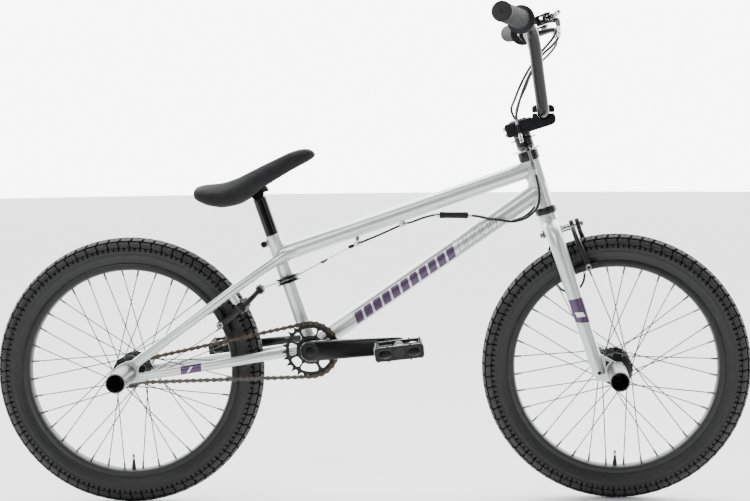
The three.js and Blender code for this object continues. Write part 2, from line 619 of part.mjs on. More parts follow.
function buildFork() {
  const leg = join(
    taperedTube([
      v(0, -3, 293), v(0.5, -16, 291.5), v(1.5, -34, 282), v(2.3, -45, 262), v(2.6, -48, 238),
      v(3.2, -51, 130), v(4, -54, 3),
    ], 15.3, 12.2, 12, 11),
    plate([
      [-6, -7], [10, -13], [34, -17], [48, -13], [54, 0], [50, 13], [38, 18], [14, 42], [4, 48], [-4, 30],
    ], -FRONT_DROPOUT.outer, 6, [[[19, 13], [22, 25], [30, 20]]]));
  const axleHole = crossRod(FORK_OFFSET, -80, 80, 0, 5.1, 12);
  const legHole = crossRod(4.2, -90, -30, 8, 3.4, 10);
  const whole = cut(
    join(leg, mirrored(leg),
      rod(v(0, 0, 272), v(0, 0, 316), 17, 16.6, 20),
      rod(v(0, 0, 300), v(0, 0, STEM.high - 1.5), STEERER.radius, STEERER.radius, 20)),
    rod(v(0, 0, 250), v(0, 0, 510), STEERER.bore, STEERER.bore, 10),
    rod(v(0, 0, 265), v(0, 0, 281), 14, STEERER.bore, 10),
    axleHole, legHole, mirrored(legHole),
    rod(v(-40, 0, BRAKE_BOLT), v(60, 0, BRAKE_BOLT), 3.4, 3.4, 10));
  const above = box(-60, 90, -90, 90, CROWN_SPLIT + GAP, 600);
  node('fork_crown', common(whole, above), 'silver', steering);
  node('fork_leg_right', common(whole, box(-60, 90, -90, 0, -60, CROWN_SPLIT)), 'silver', steering);
  node('fork_leg_left', common(whole, box(-60, 90, 0, 90, -60, CROWN_SPLIT)), 'silver', steering);
}

function buildStem() {
  const { low, high, half } = STEM;
  const tilt = radians(-17);
  const clampPoint = (along, up) => [
    BAR_CENTRE.x + along * Math.cos(tilt) - up * Math.sin(tilt),
    BAR_CENTRE.z + along * Math.sin(tilt) + up * Math.cos(tilt)];
  const barSpace = crossRod(BAR_CENTRE.x, -40, 40, BAR_CENTRE.z, BAR_RADIUS + 2 * GAP, 20);
  const body = plate([
    [-27, low + 3], [-24, low], [62, low], [70, 486], clampPoint(21, -0.8), clampPoint(-21, -0.8),
    [25, high], [-24, high], [-27, high - 3],
  ], -half, 2 * half);
  const steererSpace = rod(v(0, 0, 460), v(0, 0, 510), STEERER.radius + GAP, undefined, 20);
  node('stem', cut(body, barSpace, steererSpace), 'gloss', steering);
  const cap = plate([
    clampPoint(-21, 0.8), clampPoint(21, 0.8), clampPoint(21, 10), clampPoint(15, 15),
    clampPoint(-15, 15), clampPoint(-21, 10),
  ], -half, 2 * half);
  node('stem_clamp_cap', cut(cap, barSpace), 'gloss', steering);
}

// Right half of the bar: its bends, then the straight end that carries the grip.
const BAR_BENDS = [
  [BAR_CENTRE.x, 0, BAR_CENTRE.z], [50, -32, 499.5], [51, -55, 504.5], [54, -71, 522], [61.5, -100, 566],
  [70.5, -138, 618], [72.5, -155, 641], [69.5, -176, 656],
];
const GRIP_LINE = { from: v(63.5, -203, 663.5), to: v(33.4, -350.5, 679.6) };
const onGripLine = (t) => GRIP_LINE.from.clone().lerp(GRIP_LINE.to, t);
const BAR_RIGHT = [...BAR_BENDS.map((point) => v(...point)), ...[0, 0.1, 0.5, 1].map(onGripLine)];
const CROSSBAR = BAR_RIGHT[4];

function buildBars() {
  const left = BAR_RIGHT.slice(1).reverse().map((point) => v(point.x, -point.y, point.z));
  const bar = sweep([...left, ...BAR_RIGHT], BAR_RADIUS, 10, 28);
  const brace = crossRod(CROSSBAR.x, CROSSBAR.y, -CROSSBAR.y, CROSSBAR.z, 8, 10);
  node('handlebar', join(bar, brace), 'gloss', steering);

  const start = onGripLine(0.1);
  const axis = GRIP_LINE.to.clone().sub(start);
  const length = axis.length();
  const bore = BAR_RADIUS + 0.6;
  const outline = [
    [bore, 0], [25, 0], [25, 3], [17, 6], [16.2, length - 6],
    [17.5, length - 4], [17.5, length + 1.2], [0, length + 1.2], [0, length + 0.5], [bore, length + 0.5],
  ];
  const grip = turnedAlong(outline, 14, start, axis.normalize());
  node('grip_right', grip, 'grip', steering);
  node('grip_left', mirrored(grip), 'grip', steering);
}

// ---------------------------------------------------------------- brake levers
const LEVER = { x: 104, y: -184, z: 655, thick: 10.4 };
const CABLE_RADIUS = 2.4;

function buildLevers() {
  const clampAt = BAR_RIGHT[7].clone().lerp(BAR_RIGHT[8], 0.55);
  const axis = BAR_RIGHT[8].clone().sub(BAR_RIGHT[7]).normalize();
  const ring = turnedAlong([[0, -6], [16, -6], [16, 6], [0, 6]], 12, clampAt, axis);
  const { x, y, z, thick } = LEVER;
  const barSpace = sweep(BAR_RIGHT.slice(2), BAR_RADIUS + 1.5, 10, 13);
  const mount = cut(
    join(ring,
      rod(clampAt, v(88, -188, 656), 7, 7, 6),
      box(84, 92, -194, -168, z - 9, z + 9),
      box(88, x + 8, y - 8, y + 8, z - 9, z + 9),
      rod(v(88, -174, 653), v(123, -154, 647), 4.5, 4.5, 6),
      rod(v(122, -158, 649), v(119, -150, 628), 4.2, 4.2, 6)),
    box(93, x + 20, y - 20, y + 20, z - thick / 2 - GAP, z + thick / 2 + GAP),
    barSpace);
  const pin = rod(v(x, y, z - 8.5), v(x, y, z + 8.5), 2.4, 2.4, 8);
  const withPin = join(mount, pin);
  node('lever_mount_right', withPin, 'black', steering);
  node('lever_mount_left', mirrored(withPin), 'black', steering);

  const blade = sweep(
    [v(x, y, z), v(115, -202, 655), v(119, -240, 653.5), v(118, -278, 652.5), v(121.5, -303, 652)],
    4.6, 8, 9);
  const boss = rod(v(x, y, z - thick / 2), v(x, y, z + thick / 2), 7.6, 7.6, 12);
  const lever = cut(join(blade, boss), rod(v(x, y, z - 12), v(x, y, z + 12), 2.9, 2.9, 8));
  node('brake_lever_right', lever, 'chrome', steering);
  node('brake_lever_left', mirrored(lever), 'chrome', steering);
}

// ---------------------------------------------------------------- cable detangler
// The lower plate stays with the frame and holds the lower housings; the upper plate turns
// with the bars and holds the upper ones.
function buildDetangler() {
  const alongAxis = (outline, sides) => turnedAlong(outline, sides, v(0, 0, 0), v(0, 0, 1));
  const lowerBarrel = rod(v(0, -26, 404), v(0, -26, 442), 3.4, 3.4, 8);
  const lower = join(
    alongAxis([[14.9, 440.4], [28.5, 441.3], [28.5, 444.3], [14.9, 445]], 18),
    lowerBarrel, mirrored(lowerBarrel));
  node('detangler_lower_plate', lower, 'chrome', steerSlope);

  const upperBarrel = rod(v(-4, -30, 459), v(-2, -30.4, 493), 3.6, 3.6, 8);
  const ear = box(-9, 3, -33, -18, 463.4, 465.4);
  const upper = join(
    alongAxis([
      [14.7, 445.6], [16.6, 445.6], [16.6, 463], [25.5, 463.4], [25.5, 465.4], [16.6, 465.8],
      [16.6, 473.2], [14.7, 473.2]], 14),
    ear, mirrored(ear), upperBarrel, mirrored(upperBarrel));
  node('detangler_upper_plate', upper, 'black', steering);
}

// ---------------------------------------------------------------- front brake
// A centre-bolt caliper: both arms turn on the bolt that goes through the fork crown.
function buildFrontBrake() {
  const along = (x0, x1, radius, sides) => rod(
    v(x0, 0, BRAKE_BOLT), v(x1, 0, BRAKE_BOLT), radius, radius, sides);
  const bolt = join(
    along(-25, 60, 2.9, 8), along(-25, -17.8, 7, 6), along(17.8, 33.7, 8.5, 8), along(54.2, 60, 6, 6));
  node('front_brake_bolt', bolt, 'steel', steering);
  const arm = (middle) => cut(
    join(
      along(middle - 4.2, middle + 4.2, 11, 10),
      rod(v(middle, -6, BRAKE_BOLT), v(middle, -25, 271), 4.1, 4.1, 8),
      rod(v(middle, -23, 272.5), v(middle + 1, -38, 250), 4.1, 5.5, 8),
      rod(v(middle + 1, -37.5, 253), v(44, -38, 203), 5.5, 7, 8),
      rod(v(44, -46, 200.5), v(44, -24, 200.5), 7, 7, 8),
      box(20, 64, -29, -19.6, 193.2, 203.6)),
    along(middle - 6, middle + 6, 3.4, 8));
  node('front_brake_arm_right', arm(38.4), 'black', steering);
  node('front_brake_arm_left', mirrored(arm(49.5)), 'black', steering);
}

// ---------------------------------------------------------------- cables
// Routes in the steering group. Both rear brake housings start at the right lever.
const UPPER_NEAR = [
  [118.7, -149.2, 626.6], [115, -143, 619], [102, -126, 610], [80, -102, 600], [50, -76, 577], [28, -55, 552],
  [10, -39, 526], [-1.4, -31, 504], [-2, -30.4, 493.7],
];
const UPPER_FAR = [
  [121, -146.6, 640], [106, -122, 622], [78, -92, 605], [48, -64, 583], [25, -40, 561],
  [8, -12, 541], [-5, 14, 524], [-4.5, 28.5, 508], [-2.1, 30.5, 500], [-2, 30.4, 493.7],
];
const FRONT_BRAKE_CABLE = [
  [118.7, 149.2, 626.6], [115, 143, 619], [98, 122, 606], [72, 92, 592], [50, 69, 577],
  [33, 47, 556], [12, 19, 532], [1, 6.5, 512],
  [0, 6, 480], [0, 6, 380], [0, 6, 290], [0, 6, 271],
  [-3, 14, 261.5], [-12, 27, 254], [-21, 37, 236], [-26, 46, 205],
  [-20, 60, 166], [2, 69, 148], [22, 62, 160], [32, 52, 176], [35, 50, 190],
];
// Routes on the frame, in the bicycle's own axes.
const LOWER_HOUSING = [
  [765, -26, 626.8], [771.5, -26, 603], [774.5, -25.5, 580], [771, -25, 558], [752, -24.5, 538.5],
  [725, -23.5, 530.5], [700, -23, 533.5], [683, -20, 536], [664, -12, 539.5],
  [650, -4.5, 541.6], [643, -3, 541.9],
];
const TOP_TUBE_HOUSING = [
  [583, 0, 544.2], [560, 0, 539], [536, 0, 530.5], [518, 0, 525.5], [475, 0, 507], [424, 0, 486.5],
];
const YOKE = [371, 0, 459];
const GUIDE_HEIGHT = 136.9;     // guide ring on the seat tube, from the crank axis

const route = (points) => points.map((point) => v(...point));

function buildCables() {
  node('upper_cable_right', sweep(route(UPPER_NEAR), CABLE_RADIUS, 8, 15), 'black', steering);
  node('upper_cable_left', sweep(route(UPPER_FAR), CABLE_RADIUS, 8, 18), 'black', steering);
  node('front_brake_cable', sweep(route(FRONT_BRAKE_CABLE), CABLE_RADIUS, 8, 36), 'black', steering);
  const housing = sweep(route(LOWER_HOUSING), CABLE_RADIUS, 8, 15);
  node('lower_cable_right', housing, 'black', bike);
  node('lower_cable_left', mirrored(housing), 'black', bike);

  const ringMiddle = onSeatTube(GUIDE_HEIGHT);
  const groove = [
    [14.9, -6.5], [23.4, -6.5], [23.4, -3.6], [19.4, -3.2],
    [19.4, 3.2], [23.4, 3.6], [23.4, 6.5], [14.9, 6.5],
  ];
  node('cable_guide_ring', turnedAlong(groove, 16, ringMiddle, seatAxis), 'black', bike);

  const forward = v(seatAxis.z, 0, -seatAxis.x);
  const onRing = (angle) => ringMiddle.clone()
    .addScaledVector(forward, 21.2 * Math.cos(radians(angle)))
    .add(v(0, -21.2 * Math.sin(radians(angle)), 0));
  const wire = (from, to) => rod(from, to, 0.9, 0.9, 6);
  const branch = [
    v(YOKE[0] - 5, -1.5, YOKE[2] - 2.5), onRing(68), onRing(90), onRing(112), v(256, -17.6, 409.2),
  ];
  const right = join(...branch.slice(1).map((point, i) => wire(branch[i], point)));
  const cable = join(
    rod(v(642.1, 0, 542.1), v(588, 0, 543), 6.3, 6.3, 10),
    rod(v(589, 0, 543), v(580, 0, 543.6), 3.4, 3.4, 8),
    sweep(route(TOP_TUBE_HOUSING), 2.1, 8, 10),
    wire(v(426, 0, 487.3), v(...YOKE)),
    box(YOKE[0] - 8, YOKE[0] + 7, -4, 4, YOKE[2] - 4, YOKE[2] + 4),
    right, mirrored(right));
  node('rear_brake_cable', cable, 'black', bike);
}

buildFrame();
buildRearBrake();
buildWheels();
buildAxles();
buildDrivetrain();
buildSeat();
buildFork();
buildStem();
buildBars();
buildLevers();
buildDetangler();
buildFrontBrake();
buildCables();

export default bike;
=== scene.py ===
"""Freestyle BMX bicycle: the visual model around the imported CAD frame.

Lengths in this file are millimetres until a mesh is made, in the same frame as the CAD:
+X forward, +Y to the rider's left, +Z up, origin under the middle of the rear tyre.
"""
import math

import bmesh
import bpy
import numpy as np
from mathutils import Matrix, Vector


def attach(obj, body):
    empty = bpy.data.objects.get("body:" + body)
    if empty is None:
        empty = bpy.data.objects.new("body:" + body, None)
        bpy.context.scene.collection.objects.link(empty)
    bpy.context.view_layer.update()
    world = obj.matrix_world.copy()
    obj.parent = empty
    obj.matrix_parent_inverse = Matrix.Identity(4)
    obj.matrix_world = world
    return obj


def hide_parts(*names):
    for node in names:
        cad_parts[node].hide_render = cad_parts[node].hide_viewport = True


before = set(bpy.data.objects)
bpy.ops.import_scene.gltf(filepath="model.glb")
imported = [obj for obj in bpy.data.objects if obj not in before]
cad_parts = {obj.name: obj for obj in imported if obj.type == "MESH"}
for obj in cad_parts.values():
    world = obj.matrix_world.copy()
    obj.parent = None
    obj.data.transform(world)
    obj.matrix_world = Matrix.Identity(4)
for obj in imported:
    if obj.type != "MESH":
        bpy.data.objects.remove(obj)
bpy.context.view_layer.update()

# ---------------------------------------------------------------- dimensions, as in the CAD
WHEELBASE, TYRE_R = 920.2, 253.0
HEAD_ANGLE, FORK_OFFSET, STEER_TURN = math.radians(72.6), 36.0, math.radians(-6.08)
BRACKET = np.array([343.7, 0.0, 294.0])
SEAT_ANGLE = math.radians(71.3)
PITCH, CHAIN_Y, RING_TEETH, COG_TEETH = 12.7, -43.0, 25, 9
CRANK_LENGTH, CRANK_TURN, PEDAL_TURN = 165.0, math.radians(4), math.radians(6)
HEAD_R, TOP_R, DOWN_R, SEAT_R, SHELL_R = 17.45, 15.9, 17.45, 14.3, 24.0
BAR_R = 11.1

RAKE = math.pi / 2 - HEAD_ANGLE
ACROSS = np.array([math.cos(RAKE), 0, math.sin(RAKE)])
STEER = np.array([-math.sin(RAKE), 0, math.cos(RAKE)])
SIDE = np.array([0.0, 1.0, 0.0])
STEER_FOOT = np.array([WHEELBASE, 0, TYRE_R]) - FORK_OFFSET * ACROSS
SEAT = np.array([-math.cos(SEAT_ANGLE), 0, math.sin(SEAT_ANGLE)])
REAR_AXLE = np.array([0, 0, TYRE_R])


def on_steer(height):
    return STEER_FOOT + STEER * height


def on_seat(height):
    return BRACKET + SEAT * height


def head_place(p):
    """From distances ahead of, beside and along the steering axis, for what the frame holds."""
    p = np.asarray(p, float)
    return STEER_FOOT + p[..., :1] * ACROSS + p[..., 1:2] * SIDE + p[..., 2:3] * STEER


def steer_place(p):
    """The same for what turns with the bars, which stand turned a little to the right."""
    p = np.array(p, float)
    x, y = p[..., 0].copy(), p[..., 1].copy()
    p[..., 0] = x * math.cos(STEER_TURN) - y * math.sin(STEER_TURN)
    p[..., 1] = x * math.sin(STEER_TURN) + y * math.cos(STEER_TURN)
    return head_place(p)


def mirror(p):
    return np.asarray(p, float) * np.array([1, -1, 1])


def steer_dir(d):
    return steer_place(d) - steer_place([0, 0, 0])


STAY_SLOPE = math.radians(36.1)


def brake_place(along, side, out):
    """Beside the rear brake: distance along the seat stay from the axle, to the right, and out of it."""
    c, s = math.cos(STAY_SLOPE), math.sin(STAY_SLOPE)
    return np.array([along * c + out * s, -side, TYRE_R + along * s - out * c])


# ---------------------------------------------------------------- mesh tools
def unit(d):
    d = np.asarray(d, float)
    return d / np.linalg.norm(d)


def basis(axis):
    a = unit(axis)
    ref = np.array([0, 0, 1.0]) if abs(a[2]) < 0.9 else np.array([1.0, 0, 0])
    u = unit(np.cross(ref, a))
    return a, u, np.cross(a, u)


def curve(points, count):
    """Centripetal Catmull-Rom curve through the points, sampled evenly."""
    p = np.asarray(points, float)
    p = np.vstack([2 * p[0] - p[1], p, 2 * p[-1] - p[-2]])
    dense = []
    for i in range(1, len(p) - 2):
        q = p[i - 1:i + 3]
        k = np.concatenate([[0], np.cumsum(np.sqrt(np.linalg.norm(np.diff(q, axis=0), axis=1)) + 1e-9)])
        t = np.linspace(k[1], k[2], 24, endpoint=False)[:, None]
        a = [(k[j + 1] - t) / (k[j + 1] - k[j]) * q[j] + (t - k[j]) / (k[j + 1] - k[j]) * q[j + 1]
             for j in range(3)]
        b = [(k[j + 2] - t) / (k[j + 2] - k[j]) * a[j] + (t - k[j]) / (k[j + 2] - k[j]) * a[j + 1]
             for j in range(2)]
        dense.append((k[2] - t) / (k[2] - k[1]) * b[0] + (t - k[1]) / (k[2] - k[1]) * b[1])
    dense = np.vstack(dense + [p[-2][None]])
    length = np.concatenate([[0], np.cumsum(np.linalg.norm(np.diff(dense, axis=0), axis=1))])
    at = np.linspace(0, length[-1], count)
    return np.stack([np.interp(at, length, dense[:, k]) for k in range(3)], 1)


def grid_faces(rows, columns, wrap_columns=True, wrap_rows=False):
    """Quads between the rows of a grid of points."""
    faces = []
    last = columns if wrap_columns else columns - 1
    for r in range(rows if wrap_rows else rows - 1):
        r2 = (r + 1) % rows
        for c in range(last):
            c2 = (c + 1) % columns
            faces.append([r * columns + c, r * columns + c2, r2 * columns + c2, r2 * columns + c])
    return faces


def tube(path, radius, sides=20, caps=True, closed=False):
    """Round tube along a path. radius is one number or one per point."""
    path = np.asarray(path, float)
    n = len(path)
    radius = np.broadcast_to(np.asarray(radius, float), (n,))
    if closed:
        tangents = np.roll(path, -1, 0) - np.roll(path, 1, 0)
    else:
        tangents = np.gradient(path, axis=0)
    tangents /= np.linalg.norm(tangents, axis=1)[:, None]
    u = basis(tangents[0])[1]
    us = []
    for t in tangents:
        u = unit(u - np.dot(u, t) * t)
        us.append(u)
    us = np.array(us)
    ws = np.cross(tangents, us)
    angle = np.linspace(0, 2 * math.pi, sides, endpoint=False)
    c, s = np.cos(angle), np.sin(angle)
    rings = path[:, None] + radius[:, None, None] * (us[:, None] * c[None, :, None]
                                                     + ws[:, None] * s[None, :, None])
    verts = rings.reshape(-1, 3)
    faces = grid_faces(n, sides, True, closed)
    if caps and not closed:
        faces += [list(range(sides))[::-1], list(range((n - 1) * sides, n * sides))]
    return verts, faces


def bar(a, b, radius, end=None, sides=24, round_end=0.6):
    """Straight round bar with eased ends."""
    a, b = np.asarray(a, float), np.asarray(b, float)
    end = radius if end is None else end
    length = np.linalg.norm(b - a)
    e = min(round_end, length / 3)
    at = np.array([0, e, length - e, length]) / length
    return tube(a + (b - a) * at[:, None], [radius - e, radius, end, end - e], sides)


def lathe(outline, foot, axis, sides=48, closed=True, turn=0.0):
    """Solid of revolution; outline points are (radius, distance along the axis from the foot)."""
    a, u, w = basis(axis)
    outline = np.asarray(outline, float)
    angle = np.linspace(0, 2 * math.pi, sides, endpoint=False) + turn
    ring = np.cos(angle)[:, None] * u + np.sin(angle)[:, None] * w
    verts = (np.asarray(foot, float) + outline[:, 1][:, None, None] * a
             + outline[:, 0][:, None, None] * ring[None])
    faces = grid_faces(len(outline), sides, True, closed)
    verts = verts.reshape(-1, 3)
    if not closed:
        n = len(outline)
        faces += [list(range(sides))[::-1], list(range((n - 1) * sides, n * sides))]
    return verts, faces


def from_bmesh(bm):
    bm.verts.ensure_lookup_table()
    verts = np.array([v.co[:] for v in bm.verts], float)
    faces = [[v.index for v in f.verts] for f in bm.faces]
    bm.free()
    return verts, faces


def block(centre, size, bevel=1.0, axes=None, segments=2):
    """Box with rounded edges. axes turns it: rows are the directions of its sides."""
    bm = bmesh.new()
    bmesh.ops.create_cube(bm, size=1.0)
    bmesh.ops.scale(bm, vec=Vector(size), verts=bm.verts)
    bmesh.ops.bevel(bm, geom=list(bm.edges), offset=bevel, segments=segments, affect="EDGES", profile=0.5)
    bm.verts.index_update()
    verts, faces = from_bmesh(bm)
    if axes is not None:
        verts = verts @ np.asarray(axes, float)
    return verts + np.asarray(centre, float), faces


def plate(outline, thickness, place, holes=(), bevel=0.6):
    """Flat plate with rounded edges from a 2-D outline; place maps (x, y, depth) to the frame."""
    data = bpy.data.curves.new("plate", "CURVE")
    data.dimensions = "2D"
    data.fill_mode = "BOTH"
    data.extrude = thickness / 2 - bevel
    data.bevel_depth = bevel
    data.bevel_resolution = 1
    data.offset = -bevel
    for ring in [outline, *holes]:
        spline = data.splines.new("POLY")
        spline.points.add(len(ring) - 1)
        for point, (x, y) in zip(spline.points, ring):
            point.co = (x, y, 0, 1)
        spline.use_cyclic_u = True
    obj = bpy.data.objects.new("plate", data)
    bpy.context.scene.collection.objects.link(obj)
    bpy.context.view_layer.update()
    mesh = bpy.data.meshes.new_from_object(obj.evaluated_get(bpy.context.evaluated_depsgraph_get()))
    verts = np.array([v.co[:] for v in mesh.vertices], float)
    faces = [list(p.vertices) for p in mesh.polygons]
    bpy.data.objects.remove(obj)
    bpy.data.meshes.remove(mesh)
    return place(verts), faces


def upright(y, centre=(0, 0)):
    """Placement of a plate that stands in the X-Z plane at height y across the bicycle."""
    return lambda p: np.stack([p[:, 0] + centre[0], -p[:, 2] + y, p[:, 1] + centre[1]], 1)


def circle(radius, sides=40, centre=(0, 0)):
    a = np.linspace(0, 2 * math.pi, sides, endpoint=False)
    return [(centre[0] + radius * math.cos(t), centre[1] + radius * math.sin(t)) for t in a]


class Piece:
    """Collects surfaces for one object, each with its own material."""

    def __init__(self):
        self.verts, self.faces, self.slots, self.count, self.materials = [], [], [], 0, []

    def add(self, surface, material):
        verts, faces = surface
        if material not in self.materials:
            self.materials.append(material)
        self.verts.append(verts)
        base = self.count
        self.faces += [[i + base for i in f] for f in faces]
        self.slots += [self.materials.index(material)] * len(faces)
        self.count += len(verts)
        return self

    def add_split(self, surface, mask, plain, marked):
        """Adds a surface whose faces with a mask wear a second material."""
        self.add(surface, plain)
        if marked not in self.materials:
            self.materials.append(marked)
        first, second = self.materials.index(plain), self.materials.index(marked)
        self.slots[-len(surface[1]):] = [second if m else first for m in mask]

    def build(self, name, body, nodes=(), sharp=38):
        mesh = bpy.data.meshes.new(name)
        mesh.from_pydata((np.vstack(self.verts) * 0.001).tolist(), [], self.faces)
        for m in self.materials:
            mesh.materials.append(MATERIALS[m])
        mesh.polygons.foreach_set("material_index", self.slots)
        mesh.polygons.foreach_set("use_smooth", [True] * len(mesh.polygons))
        mesh.update()
        bm = bmesh.new()
        bm.from_mesh(mesh)
        bmesh.ops.recalc_face_normals(bm, faces=bm.faces)
        bm.to_mesh(mesh)
        bm.free()
        mesh.set_sharp_from_angle(angle=math.radians(sharp))
        obj = bpy.data.objects.new(name, mesh)
        bpy.context.scene.collection.objects.link(obj)
        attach(obj, body)
        if nodes:
            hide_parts(*nodes)
        return obj


# ---------------------------------------------------------------- materials
MATERIALS = {}


def material(name, colour, rough, metal=0.0, coat=0.0, coat_rough=0.08, spread=0.06, scale=120.0,
             bump=0.0, bump_scale=900.0, rough_spread=0.05, cells=False, specular=0.5, sheen=0.0):
    """Procedural surface: colour and roughness drift over the piece, with a fine grain for bump."""
    m = bpy.data.materials.new(name)
    m.use_nodes = True
    nodes, links = m.node_tree.nodes, m.node_tree.links
    shader = nodes["Principled BSDF"]
    shader.inputs["Metallic"].default_value = metal
    shader.inputs["Specular IOR Level"].default_value = specular
    shader.inputs["Coat Weight"].default_value = coat
    shader.inputs["Coat Roughness"].default_value = coat_rough
    shader.inputs["Sheen Weight"].default_value = sheen
    where = nodes.new("ShaderNodeTexCoord")
    drift = nodes.new("ShaderNodeTexNoise")
    drift.inputs["Scale"].default_value = scale
    drift.inputs["Detail"].default_value = 4
    links.new(where.outputs["Object"], drift.inputs["Vector"])
    ramp = nodes.new("ShaderNodeValToRGB")
    low = [c * (1 - spread) for c in colour]
    high = [min(1, c * (1 + spread)) for c in colour]
    ramp.color_ramp.elements[0].color = (*low, 1)
    ramp.color_ramp.elements[0].position = 0.3
    ramp.color_ramp.elements[1].color = (*high, 1)
    ramp.color_ramp.elements[1].position = 0.7
    links.new(drift.outputs["Fac"], ramp.inputs["Fac"])
    links.new(ramp.outputs["Color"], shader.inputs["Base Color"])
    shine = nodes.new("ShaderNodeMapRange")
    shine.inputs["To Min"].default_value = max(0.02, rough - rough_spread)
    shine.inputs["To Max"].default_value = min(1.0, rough + rough_spread)
    links.new(drift.outputs["Fac"], shine.inputs["Value"])
    links.new(shine.outputs["Result"], shader.inputs["Roughness"])
    if bump:
        grain = nodes.new("ShaderNodeTexVoronoi" if cells else "ShaderNodeTexNoise")
        grain.inputs["Scale"].default_value = bump_scale
        links.new(where.outputs["Object"], grain.inputs["Vector"])
        lift = nodes.new("ShaderNodeBump")
        lift.inputs["Strength"].default_value = bump
        lift.inputs["Distance"].default_value = 0.0005
        links.new(grain.outputs["Distance" if cells else "Fac"], lift.inputs["Height"])
        links.new(lift.outputs["Normal"], shader.inputs["Normal"])
    MATERIALS[name] = m
    return m


material("frame_paint", (0.60, 0.625, 0.62), 0.34, metal=0.55, coat=0.5, coat_rough=0.12, spread=0.04,
         scale=1800, bump=0.04, bump_scale=3500)
material("weld_paint", (0.55, 0.575, 0.57), 0.42, metal=0.5, coat=0.35, coat_rough=0.2, spread=0.06,
         scale=700, bump=0.25, bump_scale=500)
material("purple_print", (0.052, 0.019, 0.072), 0.4, coat=0.25, spread=0.18, scale=260, bump=0.03)
material("grey_print", (0.13, 0.135, 0.145), 0.4, coat=0.3, spread=0.08, scale=300, bump=0.03)
material("white_print", (0.8, 0.81, 0.82), 0.4, coat=0.4, spread=0.03, scale=300, bump=0.03)
material("gloss_black", (0.004, 0.004, 0.0045), 0.17, coat=0.0, spread=0.2, scale=90,
         bump=0.02, bump_scale=1500, specular=0.3)
material("black_alloy", (0.007, 0.007, 0.008), 0.36, spread=0.2, scale=200, bump=0.08,
         bump_scale=1800, specular=0.3)
material("matte_black", (0.008, 0.008, 0.0085), 0.6, spread=0.2, scale=200, bump=0.15, bump_scale=1400,
         specular=0.25)
material("rim_black", (0.012, 0.012, 0.013), 0.44, spread=0.12, scale=60, bump=0.05,
         bump_scale=1200, specular=0.35)
material("tyre_rubber", (0.015, 0.015, 0.0155), 0.55, spread=0.16, scale=180, bump=0.35, bump_scale=1100,
         specular=0.35)
# Near-black, dull rubber for the groove bottoms: painted shade in the tread's recesses, where the real
# grooves are the same rubber as the blocks.
material("tyre_groove_painted_shade", (0.004, 0.004, 0.004), 0.9, spread=0.3, scale=180, bump=0.3, bump_scale=1100,
         specular=0.1)
material("pad_rubber", (0.014, 0.014, 0.015), 0.8, spread=0.2, scale=300, bump=0.3, bump_scale=1500)
material("grip_rubber", (0.010, 0.010, 0.011), 0.66, spread=0.15, scale=300, bump=0.4, bump_scale=1500,
         specular=0.25)
material("saddle_cover", (0.012, 0.012, 0.013), 0.82, spread=0.3, scale=420, bump=0.6, bump_scale=850,
         cells=True, sheen=0.04, specular=0.22)
material("pedal_plastic", (0.010, 0.010, 0.011), 0.42, spread=0.12, scale=220, bump=0.3, bump_scale=1300,
         specular=0.3)
material("chrome", (0.80, 0.80, 0.80), 0.10, metal=1.0, spread=0.03, scale=150, bump=0.02)
material("bright_steel", (0.60, 0.60, 0.60), 0.24, metal=1.0, spread=0.08, scale=300, bump=0.08,
         bump_scale=1500)
material("satin_steel", (0.13, 0.13, 0.13), 0.36, metal=1.0, spread=0.12, scale=200, bump=0.12,
         bump_scale=1500)
material("dark_steel", (0.10, 0.10, 0.105), 0.38, metal=0.9, spread=0.2, scale=300, bump=0.1)
material("spoke_black", (0.020, 0.020, 0.021), 0.35, metal=0.6, spread=0.1, scale=100, bump=0.02)
material("chain_bronze", (0.085, 0.066, 0.049), 0.3, metal=0.95, spread=0.3, scale=350, bump=0.1,
         rough_spread=0.1)
material("chain_steel", (0.085, 0.078, 0.07), 0.3, metal=0.95, spread=0.3, scale=350, bump=0.1,
         rough_spread=0.1)
material("housing_black", (0.009, 0.009, 0.010), 0.26, spread=0.15, scale=200, bump=0.03, specular=0.35)
material("wire_steel", (0.32, 0.32, 0.33), 0.3, metal=1.0, spread=0.15, scale=2500, bump=0.2,
         bump_scale=5000)
material("reflector_face", (0.55, 0.56, 0.56), 0.2, coat=0.8, spread=0.1, scale=500, bump=0.5, bump_scale=700,
         cells=True)
material("floor", (0.86, 0.86, 0.86), 0.8, spread=0.01, scale=3, bump=0.02, bump_scale=60)


# ---------------------------------------------------------------- shared surface helpers
def put(surface, place):
    return place(surface[0]), surface[1]


def same(surface):
    """A piece of the right side, as it is drawn."""
    return surface


def flip(surface):
    """Its copy on the left side."""
    return mirror(surface[0]), [f[::-1] for f in surface[1]]


SIDES = (("right", same), ("left", flip))


def slab(outline, a, b, place):
    """Extrusion with square edges, for the small repeated plates."""
    n = len(outline)
    verts = np.array([(x, y, a) for x, y in outline] + [(x, y, b) for x, y in outline], float)
    faces = [list(range(n))[::-1], list(range(n, 2 * n))]
    faces += [[i, (i + 1) % n, n + (i + 1) % n, n + i] for i in range(n)]
    return place(verts), faces


def ball(centre, radius, sides=12, rings=8, stretch=(1, 1, 1)):
    t = np.linspace(0, math.pi, rings)
    outline = np.stack([np.sin(t) + 1e-4, -np.cos(t)], 1)
    verts, faces = lathe(outline, (0, 0, 0), (0, 0, 1), sides, closed=False)
    return verts * radius * np.asarray(stretch, float) + np.asarray(centre, float), faces


def screw(foot, axis, radius, height, socket=0.5, sides=28):
    """Round bolt head with a hexagon socket."""
    return lathe([(radius, 0), (radius, height - 0.8), (radius - 0.8, height), (radius * socket, height),
                  (radius * socket, height * 0.35), (0.05, height * 0.35), (0.05, 0)], foot, axis, sides)


def nut(foot, axis, radius, height):
    """Hexagon nut."""
    return lathe([(radius - 0.8, 0), (radius, 0.8), (radius, height - 0.8), (radius - 0.8, height),
                  (0.1, height), (0.1, 0)], foot, axis, 6, turn=math.pi / 6)


